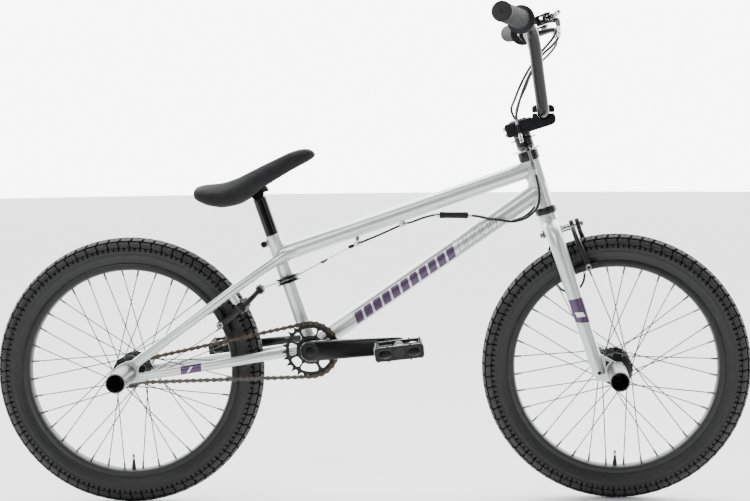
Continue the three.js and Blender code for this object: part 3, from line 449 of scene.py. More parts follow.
def meet(start, direction, radius, other, other_axis, other_radius, sides, towards=1):
    """Where each line along a tube's wall meets another tube: the saddle curve of their joint."""
    a, u, w = basis(direction)
    angle = np.linspace(0, 2 * math.pi, sides, endpoint=False)
    base = np.asarray(start, float) + radius * (np.cos(angle)[:, None] * u + np.sin(angle)[:, None] * w)
    d = unit(other_axis)
    rel = base - np.asarray(other, float)
    rel = rel - (rel @ d)[:, None] * d
    slope = a - np.dot(a, d) * d
    qa = slope @ slope
    qb = 2 * rel @ slope
    qc = (rel * rel).sum(1) - other_radius ** 2
    disc = np.maximum(qb ** 2 - 4 * qa * qc, 0)
    t = (-qb + towards * np.sqrt(disc)) / (2 * qa)
    return base + t[:, None] * a


def bead(ring, radius=2.0, waves=46):
    """Weld bead: overlapping ripples along a closed curve."""
    closed = np.vstack([ring, ring[:1]])
    length = np.concatenate([[0], np.cumsum(np.linalg.norm(np.diff(closed, axis=0), axis=1))])
    count = waves * 4
    at = np.linspace(0, length[-1], count, endpoint=False)
    path = np.stack([np.interp(at, length, closed[:, k]) for k in range(3)], 1)
    ripple = radius * (1 + 0.13 * np.sin(np.arange(count) * math.pi / 2))
    return tube(path, ripple, 8, closed=True)


def joined_tube(start, end, radius, first=None, last=None):
    """Straight tube whose ends follow the tubes they are welded to."""
    sides = 64
    start, end = np.asarray(start, float), np.asarray(end, float)
    direction = unit(end - start)
    _, u, w = basis(direction)
    angle = np.linspace(0, 2 * math.pi, sides, endpoint=False)
    wall = radius * (np.cos(angle)[:, None] * u + np.sin(angle)[:, None] * w)
    ring_a = meet(start, direction, radius, *first, sides, 1) if first else start + wall
    ring_b = meet(start, direction, radius, *last, sides, -1) if last else end + wall
    rows = np.stack([ring_a + (ring_b - ring_a) * t for t in np.linspace(0, 1, 10)])
    faces = grid_faces(10, sides)
    return (rows.reshape(-1, 3), faces), ring_a, ring_b


# ---------------------------------------------------------------- camera, light and floor
FOCAL_LENGTH = 70.483                             # mm, on a sensor 36 mm wide
CAMERA_TURN = (-0.3857, -3.5176, -0.5184)         # yaw, pitch and roll in degrees
CAMERA_AT = (0.484086, -2.779017, 0.647673)       # metres


def camera():
    data = bpy.data.cameras.new("camera")
    data.sensor_width, data.sensor_fit = 36, "HORIZONTAL"
    data.lens = FOCAL_LENGTH
    data.clip_start, data.clip_end = 0.05, 60
    obj = bpy.data.objects.new("camera", data)
    yaw, pitch, roll = (math.radians(a) for a in CAMERA_TURN)
    right = np.array([math.cos(yaw), -math.sin(yaw), 0])
    ahead = np.array([math.sin(yaw) * math.cos(pitch), math.cos(yaw) * math.cos(pitch), math.sin(pitch)])
    up = np.cross(right, ahead)
    r2 = math.cos(roll) * right + math.sin(roll) * up
    u2 = -math.sin(roll) * right + math.cos(roll) * up
    place = Matrix.Identity(4)
    for i in range(3):
        place[i][0], place[i][1], place[i][2] = r2[i], u2[i], -ahead[i]
    place.translation = Vector(CAMERA_AT)
    obj.matrix_world = place
    bpy.context.scene.collection.objects.link(obj)
    bpy.context.scene.camera = obj


def light(name, at, look, size, power):
    data = bpy.data.lights.new(name, "AREA")
    data.shape, data.size, data.size_y = "RECTANGLE", size[0], size[1]
    data.energy = power
    obj = bpy.data.objects.new(name, data)
    obj.location = at
    obj.rotation_euler = (Vector(look) - Vector(at)).to_track_quat("-Z", "Y").to_euler()
    bpy.context.scene.collection.objects.link(obj)


def studio():
    world = bpy.data.worlds.new("studio")
    world.use_nodes = True
    nodes, links = world.node_tree.nodes, world.node_tree.links
    where = nodes.new("ShaderNodeTexCoord")
    split = nodes.new("ShaderNodeSeparateXYZ")
    ramp = nodes.new("ShaderNodeMapRange")
    ramp.interpolation_type = "SMOOTHSTEP"
    ramp.inputs["From Min"].default_value, ramp.inputs["From Max"].default_value = -0.2, 0.5
    ramp.inputs["To Min"].default_value, ramp.inputs["To Max"].default_value = 0.05, 7.0
    links.new(where.outputs["Generated"], split.inputs["Vector"])
    links.new(split.outputs["Y"], ramp.inputs["Value"])
    seen = nodes.new("ShaderNodeLightPath")
    backdrop = nodes.new("ShaderNodeMix")
    backdrop.inputs["B"].default_value = 8.0
    links.new(seen.outputs["Is Camera Ray"], backdrop.inputs["Factor"])
    links.new(ramp.outputs["Result"], backdrop.inputs["A"])
    links.new(backdrop.outputs["Result"], nodes["Background"].inputs["Strength"])
    nodes["Background"].inputs["Color"].default_value = (1.0, 1.0, 1.0, 1)
    bpy.context.scene.world = world
    light("key", (-0.9, -2.0, 2.5), (0.45, 0, 0.35), (2.2, 0.5), 40)
    light("fill", (2.6, -1.9, 1.3), (0.5, 0, 0.4), (0.5, 1.8), 14)
    light("left_strip", (-0.7, -2.5, 1.3), (0.5, 0, 0.6), (0.12, 2.0), 16)
    light("top", (0.5, 0.2, 2.6), (0.45, 0, 0.3), (2.4, 1.0), 34)
    bm = bmesh.new()
    bmesh.ops.create_circle(bm, cap_ends=True, radius=14, segments=96)
    mesh = bpy.data.meshes.new("floor")
    bm.to_mesh(mesh)
    bm.free()
    mesh.materials.append(MATERIALS["floor"])
    floor = bpy.data.objects.new("floor", mesh)
    floor.location = (0.46, 12.4, -0.0006)
    bpy.context.scene.collection.objects.link(floor)


camera()
studio()


# ---------------------------------------------------------------- frame
def wrapped(polygon, start, axis, radius, taper=0.0):
    """Print on a tube: an outline in (along, around), laid on the wall; around 0 faces right."""
    lift, step = 0.12, 3.0
    bm = bmesh.new()
    corners = [bm.verts.new((x, y, 0)) for x, y in polygon]
    bm.faces.new(corners)
    bmesh.ops.triangulate(bm, faces=bm.faces)
    for _ in range(5):
        long = [e for e in bm.edges if e.calc_length() > step]
        if not long:
            break
        bmesh.ops.subdivide_edges(bm, edges=long, cuts=1)
        bmesh.ops.triangulate(bm, faces=bm.faces)
    bm.verts.index_update()
    verts, faces = from_bmesh(bm)
    a = unit(axis)
    out = -SIDE
    out = unit(out - np.dot(out, a) * a)
    up = np.cross(out, a)
    turn = verts[:, 1] / radius
    return (np.asarray(start, float) + verts[:, :1] * a
            + (radius + lift + taper * verts[:, :1])
            * (np.cos(turn)[:, None] * out + np.sin(turn)[:, None] * up)), faces


def build_frame():
    head = Piece()
    head.add(lathe([(15.4, 329), (16.9, 329), (HEAD_R, 329.6), (HEAD_R, 421.4), (16.9, 422), (15.4, 422)],
                   STEER_FOOT, STEER, 72), "frame_paint")
    stripe = [(376, -17.0), (377, -13.8), (421.5, -13.8), (421.5, -17.0)]
    head.add(wrapped(stripe, STEER_FOOT, STEER, HEAD_R), "purple_print")
    head.build("head_tube_fine", "frame", ["head_tube"])

    for name, low, high, radius in (("lower", 316.5, 328.7, 20.2), ("upper", 422.3, 440, 19.6)):
        cup = Piece()
        middle = (low + high) / 2
        cup.add(lathe([(14.9, low), (radius - 2.6, low), (radius - 0.8, low + 0.9), (radius, low + 2.6),
                       (radius, middle - 0.8), (radius - 0.5, middle - 0.4), (radius - 0.5, middle + 0.4),
                       (radius, middle + 0.8), (radius, high - 2), (radius - 1.2, high), (14.9, high)],
                      STEER_FOOT, STEER, 64), "black_alloy")
        cup.build(f"headset_{name}_cup_fine", "frame", [f"headset_{name}_cup"])

    head_line = (STEER_FOOT, STEER, HEAD_R)
    seat_line = (BRACKET, SEAT, SEAT_R)
    shell_line = (BRACKET, SIDE, SHELL_R)
    top_a, top_b = on_seat(186), on_steer(406.8)
    top = Piece()
    wall, ring_a, ring_b = joined_tube(top_a, top_b, TOP_R, seat_line, head_line)
    top.add(wall, "frame_paint")
    top.add(bead(ring_a, 1.7), "weld_paint").add(bead(ring_b, 1.9), "weld_paint")
    for x, z, roof in ((518, 525.5, 533.4), (432, 489.7, 504.6)):
        slope = unit([6, 0, 2])
        foot = np.array([x, 0, z]) - slope * 6.3
        top.add(lathe([(3.2, 0), (4.2, 0), (4.8, 0.8), (4.8, 11.8), (4.2, 12.6), (3.2, 12.6)], foot, slope,
                      28),
                "bright_steel")
        top.add(block((x, 0, (z + 3.8 + roof) / 2), (7.4, 4.6, roof - z - 3.8 + 1), 0.6), "bright_steel")
    top.build("top_tube_fine", "frame", ["top_tube"])

    down_b = on_steer(362.8)
    down = Piece()
    wall, ring_a, ring_b = joined_tube(BRACKET, down_b, DOWN_R, shell_line, head_line)
    down.add(wall, "frame_paint")
    down.add(bead(ring_a, 1.9), "weld_paint").add(bead(ring_b, 2.0), "weld_paint")
    print_down_tube(down, BRACKET, down_b)
    down.build("down_tube_fine", "frame", ["down_tube"])

    seat = Piece()
    top_end = 226.0
    outline = [(13.15, 24.5), (SEAT_R, 24.5), (SEAT_R, top_end - 22), (SEAT_R + 0.7, top_end - 20),
               (SEAT_R + 0.7, top_end - 0.6), (SEAT_R, top_end), (13.15, top_end)]
    seat.add(lathe(outline, BRACKET, SEAT, 64), "frame_paint")
    bolt = on_seat(top_end - 12) + np.array([-19.5, 0, -6])
    axes = np.array([unit(np.cross([0, 1, 0], SEAT)), [0, 1, 0], SEAT])
    for side in (-1, 1):
        lug = on_seat(top_end - 12) - axes[0] * 20.4 + np.array([0, 4.0 * side, 0])
        seat.add(block(lug, (13, 5.2, 13), 2.2, axes=axes, segments=3), "frame_paint")
    seat.add(screw(bolt + [0, 7, 0], (0, 1, 0), 5.4, 5.5), "matte_black")
    seat.add(screw(bolt - [0, 7, 0], (0, -1, 0), 5.6, 5.8), "matte_black")
    seat.add(bar(bolt - [0, 8, 0], bolt + [0, 8, 0], 3), "bright_steel")
    ring = meet(BRACKET, SEAT, SEAT_R, *shell_line, 64, 1)
    seat.add(bead(ring, 1.8, 34), "weld_paint")
    seat.build("seat_tube_fine", "frame", ["seat_tube"])

    shell = Piece()
    shell.add(lathe([(20.4, -36.5), (SHELL_R - 0.8, -36.5), (SHELL_R, -35.7), (SHELL_R, 35.7),
                     (SHELL_R - 0.8, 36.5), (20.4, 36.5)], BRACKET, SIDE, 72), "frame_paint")
    for s in (-1, 1):
        shell.add(lathe([(10.4, 0), (19.6, 0), (20.3, 0.6), (20.3, 6), (10.4, 6)],
                        BRACKET + [0, s * 30, 0], (0, s, 0), 56), "matte_black")
    shell.build("bracket_shell_fine", "frame", ["bottom_bracket_shell"])
    build_stays()


def print_down_tube(piece, start, end):
    """An even row of plain slanted purple bars under one thin line, then a row of thin grey outlines."""
    axis = unit(np.asarray(end) - start)
    first, bars, pitch, gap, lean, low, high = 97.0, 11, 21.0, 4.5, 6.5, -14.5, 9.0
    for i in range(bars):
        x0, x1 = first + i * pitch, first + (i + 1) * pitch - gap
        shape = [(x0, low), (x1, low), (x1 + lean, high), (x0 + lean, high)]
        piece.add(wrapped(shape, start, axis, DOWN_R), "purple_print")
    last = first + bars * pitch - gap + lean
    line = [(first + lean, high + 1.6), (last, high + 1.6), (last, high + 3.4), (first + lean, high + 3.4)]
    piece.add(wrapped(line, start, axis, DOWN_R), "purple_print")
    for i in range(5):
        x0, x1 = last + 4 + i * 18, last + 4 + i * 18 + 14
        outer = [(x0, -12), (x1, -12), (x1 + lean, 10), (x0 + lean, 10)]
        for a, b in zip(outer, outer[1:] + outer[:1]):
            a, b = np.array(a), np.array(b)
            d = unit(b - a)
            n = np.array([-d[1], d[0]]) * 1.3
            piece.add(wrapped([tuple(a), tuple(b), tuple(b + n), tuple(a + n)], start, axis, DOWN_R),
                      "grey_print")


def build_stays():
    top = on_seat(186) + [14, 0, 2]
    seat_path = curve([(17, -58, 273.6), brake_place(180, 50.5, -6.8), brake_place(255, 38.5, -6.8),
                       (top[0] - 30, -21, top[2] - 19), (top[0], -16, top[2]),
                       (top[0] + 16, -9, top[2] + 5)], 60)
    chain_path = curve([(24, -58.2, 247.4), (120, -54, 261.5), (205, -47, 274), (258, -36.5, 282),
                        (300, -29, 288), (BRACKET[0], -26, BRACKET[2])], 60)
    chain_radius = np.interp(np.linspace(0, 1, 60), [0, 0.1, 1], [6.8, 7.8, 10.0])
    outline = [(-27, 247), (-25, 259), (-17, 269), (-2, 276), (12, 279), (30, 285), (33, 277), (23, 266),
               (21, 256), (34, 255), (36, 240), (14, 237), (-4, 234), (-20, 238)]
    slot = [(-29.5, 245.8)] + [(7.2 * math.cos(t), 253 + 7.2 * math.sin(t))
                               for t in np.linspace(-math.pi / 2, math.pi / 2, 9)] + [(-29.5, 260.2)]
    dropout = slotted(outline, slot)
    pivot = brake_place(243, 40, 0)
    stud_axis = brake_place(243, 40, 1) - pivot
    for side, mark in (("right", 1), ("left", -1)):
        turn = same if mark > 0 else flip
        stay = Piece()
        stay.add(turn(tube(seat_path, 8.9, 32)), "frame_paint")
        stay.add(turn(lathe([(7.4, -4), (7.4, 14), (6.6, 15), (5.4, 15), (5.4, 18), (0.1, 18), (0.1, -4)],
                            pivot, stud_axis, 32)), "frame_paint")
        ring = meet(seat_path[-14], seat_path[-1] - seat_path[-14], 8.9, BRACKET, SEAT, SEAT_R + 1.0, 40, -1)
        stay.add(turn(bead(ring, 1.4, 26)), "weld_paint")
        stay.build(f"seat_stay_{side}_fine", "frame", [f"seat_stay_{side}"])

        lower = Piece()
        lower.add(turn(tube(chain_path, chain_radius, 36)), "frame_paint")
        lower.add(turn(plate(dropout, 6, upright(-58), bevel=0.7)), "frame_paint")
        for path, radius in ((seat_path, 8.9), (chain_path, 7.4)):
            nose = ball(path[1], radius * 0.97, 20, 12)
            lower.add(turn(nose), "frame_paint")
        lower.add(turn(bead(curve([(31, -54.6, 246), (36, -51, 252), (34, -55, 258)], 20)[:-1], 0.9, 14)),
                  "weld_paint")
        for surface, look in stay_print(chain_path, chain_radius, *((100, 141) if mark > 0 else (96, 205))):
            lower.add(turn(surface), look)

        ring = meet(chain_path[-8], chain_path[-1] - chain_path[-8], 9.8, BRACKET, SIDE, SHELL_R, 40, -1)
        lower.add(turn(bead(ring, 1.5, 28)), "weld_paint")
        lower.build(f"chain_stay_{side}_fine", "frame", [f"chain_stay_{side}"])


def slotted(outline, slot):
    """The dropout's outline with its axle slot open to the rear."""
    rear = outline.index((-27, 247))
    return outline[rear + 1:] + outline[:rear] + [(-27.4, 246)] + slot[1:-1] + [(-26, 260)]


def stay_print(path, radius, x0, x1):
    """A purple band on the outer wall of the chain stay, with a small light mark on it."""
    i = int(np.argmin(abs(path[:, 0] - x0)))
    j = int(np.argmin(abs(path[:, 0] - x1)))
    length = np.linalg.norm(path[j] - path[i])
    taper = (radius[j] - radius[i]) / length
    band = [(0, -9.5), (length, -9.5), (length + 1.5, 10.5), (1.5, 10.5)]
    mark = [(length * 0.3, -4.5), (length * 0.42, -4.5), (length * 0.62, 4.5), (length * 0.5, 4.5)]
    bend = 0.35
    return [(wrapped(band, path[i], path[j] - path[i], radius[i] + bend, taper=taper), "purple_print"),
            (wrapped(mark, path[i], path[j] - path[i], radius[i] + bend + 0.1, taper=taper), "white_print")]


# ---------------------------------------------------------------- wheels
PITCHES, ACROSS_STEPS, ROUND_STEPS = 72, 65, 12


def tread_depth(u, s):
    """Depth of the tread's grooves, 0 on a block and 1 at the bottom; u around, s across, in mm."""
    pitch = 2 * math.pi * TYRE_R / PITCHES
    a = abs(s)

    def groove(distance, width):
        return np.clip((width / 2 + 0.35 - abs(distance)) / 0.7, 0, 1)

    def ring(x):
        return (x + pitch / 2) % pitch - pitch / 2

    rows = np.maximum(np.maximum(groove(a - 7.6, 2.0), groove(a - 19.4, 2.2)), groove(a - 33.0, 1.1))
    middle = groove(ring(u + 0.6 * s), 2.0)
    second = np.maximum(groove(ring(u + pitch / 2 - 0.35 * a), 2.6), 0.5 * groove(ring(u - 0.35 * a), 1.2))
    outer = np.maximum(groove(ring(u + 0.1 * a), 1.7), 0.7 * groove(ring(u + pitch / 2 + 0.1 * a), 1.1))
    cross = np.where(a < 7.6, middle, np.where(a < 19.4, second, outer))
    fade = np.clip((41 - a) / 2.5, 0, 1)
    return np.maximum(rows, cross) * fade


def tyre_surface():
    half = [(198.2, -14.2), (203, -14.9), (208, -17.5), (213, -21), (219, -23.6), (227, -24.2), (236, -23.4),
            (244, -19.4), (249.6, -13.2), (252.4, -6), (253, 0)]
    points = [(r, y, 0) for r, y in half] + [(r, -y, 0) for r, y in half[-2::-1]]
    profile = curve(points, ACROSS_STEPS * 2 - 1)
    length = np.concatenate([[0], np.cumsum(np.linalg.norm(np.diff(profile, axis=0), axis=1))])
    s = length - length[-1] / 2
    tangent = np.gradient(profile[:, :2], axis=0)
    tangent /= np.linalg.norm(tangent, axis=1)[:, None]
    normal = np.stack([tangent[:, 1], -tangent[:, 0]], 1)
    around = PITCHES * ROUND_STEPS
    angle = np.linspace(0, 2 * math.pi, around, endpoint=False)
    u = angle * TYRE_R
    depth = 3.0 * tread_depth(u[:, None], s[None, :])
    ridge = (0.55 * np.exp(-((profile[:, 0] - 219.5) / 0.9) ** 2)
             + 0.4 * np.exp(-((profile[:, 0] - 206) / 0.8) ** 2))
    edge = 1.3 * np.clip((abs(s) - 40.5) / 1.2, 0, 1) * np.clip((profile[:, 0] - 200) / 20, 0, 1)
    offset = -depth + (ridge - edge)[None, :]
    r = profile[None, :, 0] + offset * normal[None, :, 0]
    y = profile[None, :, 1] + offset * normal[None, :, 1]
    r = np.minimum(r, TYRE_R)
    verts = np.stack([r * np.sin(angle)[:, None], y, -r * np.cos(angle)[:, None]], 2).reshape(-1, 3)
    ready = (verts, grid_faces(around, profile.shape[0], False, True))
    # Faces deep in the grooves are marked for the darker rubber: painted shade in the recesses.
    deep = (depth[:, :-1] + depth[:, 1:] + np.roll(depth, -1, 0)[:, :-1] + np.roll(depth, -1, 0)[:, 1:]) / 4
    return ready, (deep > 1.0).ravel()


def rim_surface():
    half = [(190.5, 0), (190.5, 6), (191.2, 10.5), (193, 15.5), (194.6, 17.1), (196.2, 17.5), (203.2, 17.5),
            (204.2, 16.9), (204.2, 15.9), (199, 15.6), (197.4, 0)]
    return lathe(half + [(r, -y) for r, y in half[-2:0:-1]], (0, 0, 0), (0, 1, 0), 160)


def spoke_ends(side, flange):
    ends = []
    for i in range(18):
        rim = ((i + (0.75 if side > 0 else 0.25)) * 2 * math.pi) / 18
        turn = 1 if i % 2 else -1
        hub = rim + math.radians(62 * turn)
        ends.append((np.array([28 * math.sin(hub), flange + turn * 1.2, 28 * math.cos(hub)]),
                     np.array([191 * math.sin(rim), side * 4 + turn, 191 * math.cos(rim)])))
    return ends


def build_wheel(prefix, body, hub_outline, flanges, place):
    tyre = Piece()
    surface, grooves = tyre_surface()
    # The groove bottoms wear the darker rubber as painted shade.
    tyre.add_split(put(surface, place), grooves, "tyre_rubber", "tyre_groove_painted_shade")
    tyre.build(f"{prefix}_tyre_fine", body, [f"{prefix}_tyre"], sharp=50)

    rim = Piece()
    rim.add(put(rim_surface(), place), "rim_black")
    valve = lathe([(0.1, 192), (4.2, 192), (4.0, 184), (2.9, 181), (2.7, 172), (0.1, 172)],
                  (0, 0, 0), (0, 0, -1), 20)
    rim.add(put(valve, place), "pad_rubber")
    cap = lathe([(0.1, 172), (2.9, 172), (2.9, 163), (2.2, 161.6), (0.1, 161.4)], (0, 0, 0), (0, 0, -1), 20)
    rim.add(put(cap, place), "bright_steel")
    rim.build(f"{prefix}_rim_fine", body, [f"{prefix}_rim"])

    hub = Piece()
    hub.add(put(lathe(hub_outline, (0, 0, 0), SIDE, 64), place), "black_alloy")
    for side, flange in ((-1, flanges[0]), (1, flanges[1])):
        for inner, outer in spoke_ends(side, flange):
            hub.add(put(bar(inner, outer, 0.98, sides=8, round_end=0.2), place), "spoke_black")
            along = unit(outer - inner)
            hub.add(put(bar(outer - along * 13, outer - along * 1, 1.7, 2.1, 8, 0.3), place), "satin_steel")
            head = inner + np.array([0, math.copysign(2.0, inner[1] - flange), 0])
            hub.add(put(ball(head, 1.9, 8, 5, (1, 0.5, 1)), place), "satin_steel")
    hub.build(f"{prefix}_hub_fine", body, [f"{prefix}_hub_and_spokes"])


def front_wheel_place(p):
    p = np.asarray(p, float)
    c, s = math.cos(RAKE), math.sin(RAKE)
    x = p[:, 0] * c + p[:, 2] * s + FORK_OFFSET
    z = -p[:, 0] * s + p[:, 2] * c
    return steer_place(np.stack([x, p[:, 1], z], 1))


def flange_pair(half):
    return half + [(r, -y) for r, y in half[::-1]]


def build_wheels():
    front = flange_pair([(5.6, -46), (10, -46), (11, -45), (11.5, -39), (14, -37.6), (30, -37.2), (31, -36.4),
                         (31, -34.6), (30, -33.8), (20, -32.6), (15.6, -29), (13.4, -20), (13, -8)])
    build_wheel("front", "front_wheel", front, (-34.75, 34.75), front_wheel_place)
    rear = [(7.8, -33.5), (18.4, -33.5), (19.4, -32.6), (20, -31.4), (30, -31), (31, -30.2), (31, -28.6),
            (30, -27.8), (20, -26), (16.6, -22), (14.4, -10), (14, 0), (14.4, 14), (16.6, 31), (20, 35),
            (30, 36.6), (31, 37.4), (31, 39), (30, 39.8), (15, 41.4), (12.6, 44), (12, 50), (7.8, 50)]
    build_wheel("rear", "rear_wheel", rear, (-28.75, 37.75), lambda p: np.asarray(p) + REAR_AXLE)


# ---------------------------------------------------------------- axles and pegs
def build_axle(name, body, half, radius, nut_radius, place, outer):
    piece = Piece()
    threads = []
    for i, y in enumerate(np.arange(outer, half, 0.75)):
        threads.append((radius - (0.35 if i % 2 else 0.0), y))
    for s in (1, -1):
        piece.add(put(lathe([(0.1, 20)] + [(radius, 20)] + threads + [(0.1, half)], (0, 0, 0), (0, s, 0), 24),
                      place), "satin_steel")
        piece.add(put(nut((0, s * (half - 12), 0), (0, s, 0), nut_radius, 9), place), "bright_steel")
    piece.add(put(bar((0, -half + 20, 0), (0, half - 20, 0), radius), place), "satin_steel")
    piece.build(f"{name}_fine", body, [name])


def build_peg(name, body, inner, outer, bore, place):
    piece = Piece()
    ring = [(15.9, outer - 0.3), (16.6, outer), (17.4, outer), (18, outer - 0.7)]
    grooves = []
    for y in np.linspace(outer - 10, inner + 26, 3):
        grooves += [(18, y + 0.5), (17.75, y + 0.2), (17.75, y - 0.2), (18, y - 0.5)]
    piece.add(put(lathe(ring + grooves + [(18, inner + 0.8), (17.2, inner), (bore, inner), (bore, inner + 7),
                                          (9, inner + 7)], (0, 0, 0), SIDE, 72, closed=True), place),
              "satin_steel")
    # A thin matte black sheet lining the bore and the floor of the hollow: painted shade inside the peg.
    piece.add(put(lathe([(15.7, outer - 0.4), (15.7, inner + 8), (bore, inner + 8), (bore, inner + 7.2),
                         (15.9, inner + 7.2), (15.9, outer - 0.4)], (0, 0, 0), SIDE, 56), place),
              "matte_black")
    piece.build(f"{name}_fine", body, [name])


def build_axles():
    rear = lambda p: np.asarray(p) + REAR_AXLE
    front = lambda p: steer_place(np.asarray(p) + [FORK_OFFSET, 0, 0])
    build_axle("rear_axle", "frame", 81, 6.9, 11, rear, 68)
    build_axle("front_axle", "steering", 76, 4.8, 9, front, 63)
    for side, mark in (("left", 1), ("right", -1)):
        turn = (lambda f, m=mark: (lambda p: f(np.asarray(p) * [1, m, 1])))
        build_peg(f"rear_peg_{side}", "frame", 61.3, 177, 7.3, turn(rear))
        build_peg(f"front_peg_{side}", "steering", 56.3, 165.5, 5.3, turn(front))


build_frame()
build_wheels()
build_axles()


# ---------------------------------------------------------------- chain, chainring, cranks, pedals
COG_PITCH_R = PITCH / (2 * math.sin(math.pi / COG_TEETH))
RING_PITCH_R = PITCH / (2 * math.sin(math.pi / RING_TEETH))


def chain_pins():
    """Places of the chain's pins round both sprockets, with whether each is on a sprocket."""
    c1, c2 = np.array([0, TYRE_R]), np.array([BRACKET[0], BRACKET[2]])
    gap = c2 - c1
    slope = math.atan2(gap[1], gap[0])
    lean = math.asin((RING_PITCH_R - COG_PITCH_R) / np.linalg.norm(gap))
    up, down = slope + lean + math.pi / 2, slope - lean - math.pi / 2
    run = math.sqrt(gap @ gap - (RING_PITCH_R - COG_PITCH_R) ** 2)
    ring_arc, cog_arc = up - down, 2 * math.pi - (up - down)
    lengths = [run, RING_PITCH_R * ring_arc, run, COG_PITCH_R * cog_arc]
    total = sum(lengths)
    count = 2 * round(total / PITCH / 2)

    def at(s):
        s %= total
        if s < lengths[0]:
            d = np.array([math.cos(slope + lean), math.sin(slope + lean)])
            return c1 + COG_PITCH_R * np.array([math.cos(up), math.sin(up)]) + d * s, 0
        s -= lengths[0]
        if s < lengths[1]:
            a = up - s / RING_PITCH_R
            return c2 + RING_PITCH_R * np.array([math.cos(a), math.sin(a)]), 1
        s -= lengths[1]
        if s < lengths[2]:
            d = -np.array([math.cos(slope - lean), math.sin(slope - lean)])
            return c2 + RING_PITCH_R * np.array([math.cos(down), math.sin(down)]) + d * s, 0
        s -= lengths[2]
        a = down - s / COG_PITCH_R
        return c1 + COG_PITCH_R * np.array([math.cos(a), math.sin(a)]), 2

    return [at(i * total / count) for i in range(count)]


def link_outline(a, b, radius, waist):
    """Figure of eight round two pins."""
    d = unit(b - a)
    n = np.array([-d[1], d[0]])
    half = np.linalg.norm(b - a) / 2
    points = []
    for sign, centre in ((1, b), (-1, a)):
        for t in np.linspace(-1.9, 1.9, 9):
            points.append(centre + radius * sign * (math.cos(t) * d + math.sin(t) * n))
        points.append((a + b) / 2 + sign * n * waist - sign * d * half * 0.15)
        points.append((a + b) / 2 + sign * n * waist - sign * d * half * 0.3)
    return points


def build_chain():
    pins = chain_pins()
    n = len(pins)
    ring_centre, cog_centre = np.array([BRACKET[0], BRACKET[2]]), np.array([0, TYRE_R])
    piece = Piece()
    for i in range(n):
        a, on_a = pins[i]
        b, on_b = pins[(i + 1) % n]
        lower = on_a != 1 and on_b != 1 and (a[1] + b[1]) / 2 < 250
        look = "chain_steel" if lower else "chain_bronze"
        outer = i % 2 == 0
        for side in (-1, 1):
            y = CHAIN_Y + side * (4.15 if outer else 3.15)
            ring = link_outline(a, b, 4.05 if outer else 3.95, 2.3 if outer else 2.1)
            piece.add(slab(ring, y - 0.45, y + 0.45, lambda p: np.stack([p[:, 0], p[:, 2], p[:, 1]], 1)),
                      look)
    for a, _ in pins:
        p = np.array([a[0], 0, a[1]])
        for side in (-1, 1):
            s = np.array([0, side, 0])
            piece.add(bar(p + [0, CHAIN_Y, 0] + s * 3.6, p + [0, CHAIN_Y, 0] + s * 5.1, 1.7, 1.7, 10, 0.3),
                      "chain_steel")
        if np.linalg.norm(a - ring_centre) > 58 and np.linalg.norm(a - cog_centre) > 26:
            piece.add(bar(p + [0, CHAIN_Y - 2.8, 0], p + [0, CHAIN_Y + 2.8, 0], 3.6, sides=12), "chain_steel")
    piece.build("chain_fine", "frame", ["chain"], sharp=50)


def toothed(teeth, pitch_radius, phase, tip):
    """Sprocket outline: a round seat for each roller and a narrow tooth between."""
    points = []
    for k in range(teeth):
        a = phase + k * 2 * math.pi / teeth
        centre = pitch_radius * np.array([math.cos(a), math.sin(a)])
        for t in np.linspace(1.15, -1.15, 7):
            d = a + math.pi + t
            points.append(tuple(centre + 4.1 * np.array([math.cos(d), math.sin(d)])))
        b = a + math.pi / teeth
        side = 0.85 / (pitch_radius + tip)
        for turn in (-side, side):
            points.append(((pitch_radius + tip) * math.cos(b + turn),
                           (pitch_radius + tip) * math.sin(b + turn)))
    return points


def window(r0, r1, a0, a1):
    """Rounded opening between two radii and two angles in degrees."""
    a0, a1 = math.radians(a0), math.radians(a1)
    points = []
    corner = 2.6
    for r, sweep in ((r0, (a0, a1)), (r1, (a1, a0))):
        ease = corner / r * (1 if sweep[1] > sweep[0] else -1)
        for t in np.linspace(sweep[0] + ease, sweep[1] - ease, 10):
            points.append((r * math.cos(t), r * math.sin(t)))
        for q in ((r0 + corner, r1 - corner) if r == r0 else (r1 - corner, r0 + corner)):
            points.append((q * math.cos(sweep[1]), q * math.sin(sweep[1])))
    return points


def build_drivetrain():
    pins = chain_pins()
    on_ring = [p for p, on in pins if on == 1]
    on_cog = [p for p, on in pins if on == 2]
    first, cog_first = on_ring[len(on_ring) // 2], on_cog[len(on_cog) // 2]
    phase = math.atan2(first[1] - BRACKET[2], first[0] - BRACKET[0])
    cog_phase = math.atan2(cog_first[1] - TYRE_R, cog_first[0])
    ring = Piece()
    holes = [window(27, 41, a, b) for a, b in
             ((9, 36), (42, 66), (72, 117), (124, 152), (160, 197), (205, 234), (240, 291), (301, 330))]
    ring.add(plate(toothed(RING_TEETH, RING_PITCH_R, phase, 3.4), 2.4,
                   upright(CHAIN_Y, (BRACKET[0], BRACKET[2])),
                   holes, bevel=0.35), "black_alloy")
    ring.add(lathe([(9.9, -48.6), (22.6, -48.6), (23.8, -47.6), (24, -46.4), (25.2, -44.6), (25.2, -41.4),
                    (24, -40), (24, -37.9), (9.9, -37.9)], BRACKET, SIDE, 72), "black_alloy")
    ring.build("chainring_fine", "crankset", ["chainring"])

    cog = Piece()
    cog.add(plate(toothed(COG_TEETH, COG_PITCH_R, cog_phase, 3.4), 2.4, upright(CHAIN_Y, (0, TYRE_R)),
                  [circle(8, 24)], bevel=0.35), "dark_steel")
    cog.add(lathe([(7.7, -50.6), (11, -50.6), (13, -49.4), (13.4, -44.6), (14.1, -44.2), (14.1, -34.4),
                   (7.7, -34.4)], REAR_AXLE, SIDE, 48), "dark_steel")
    cog.build("driver_fine", "rear_driver", ["driver"])
    build_chain()
    build_cranks()


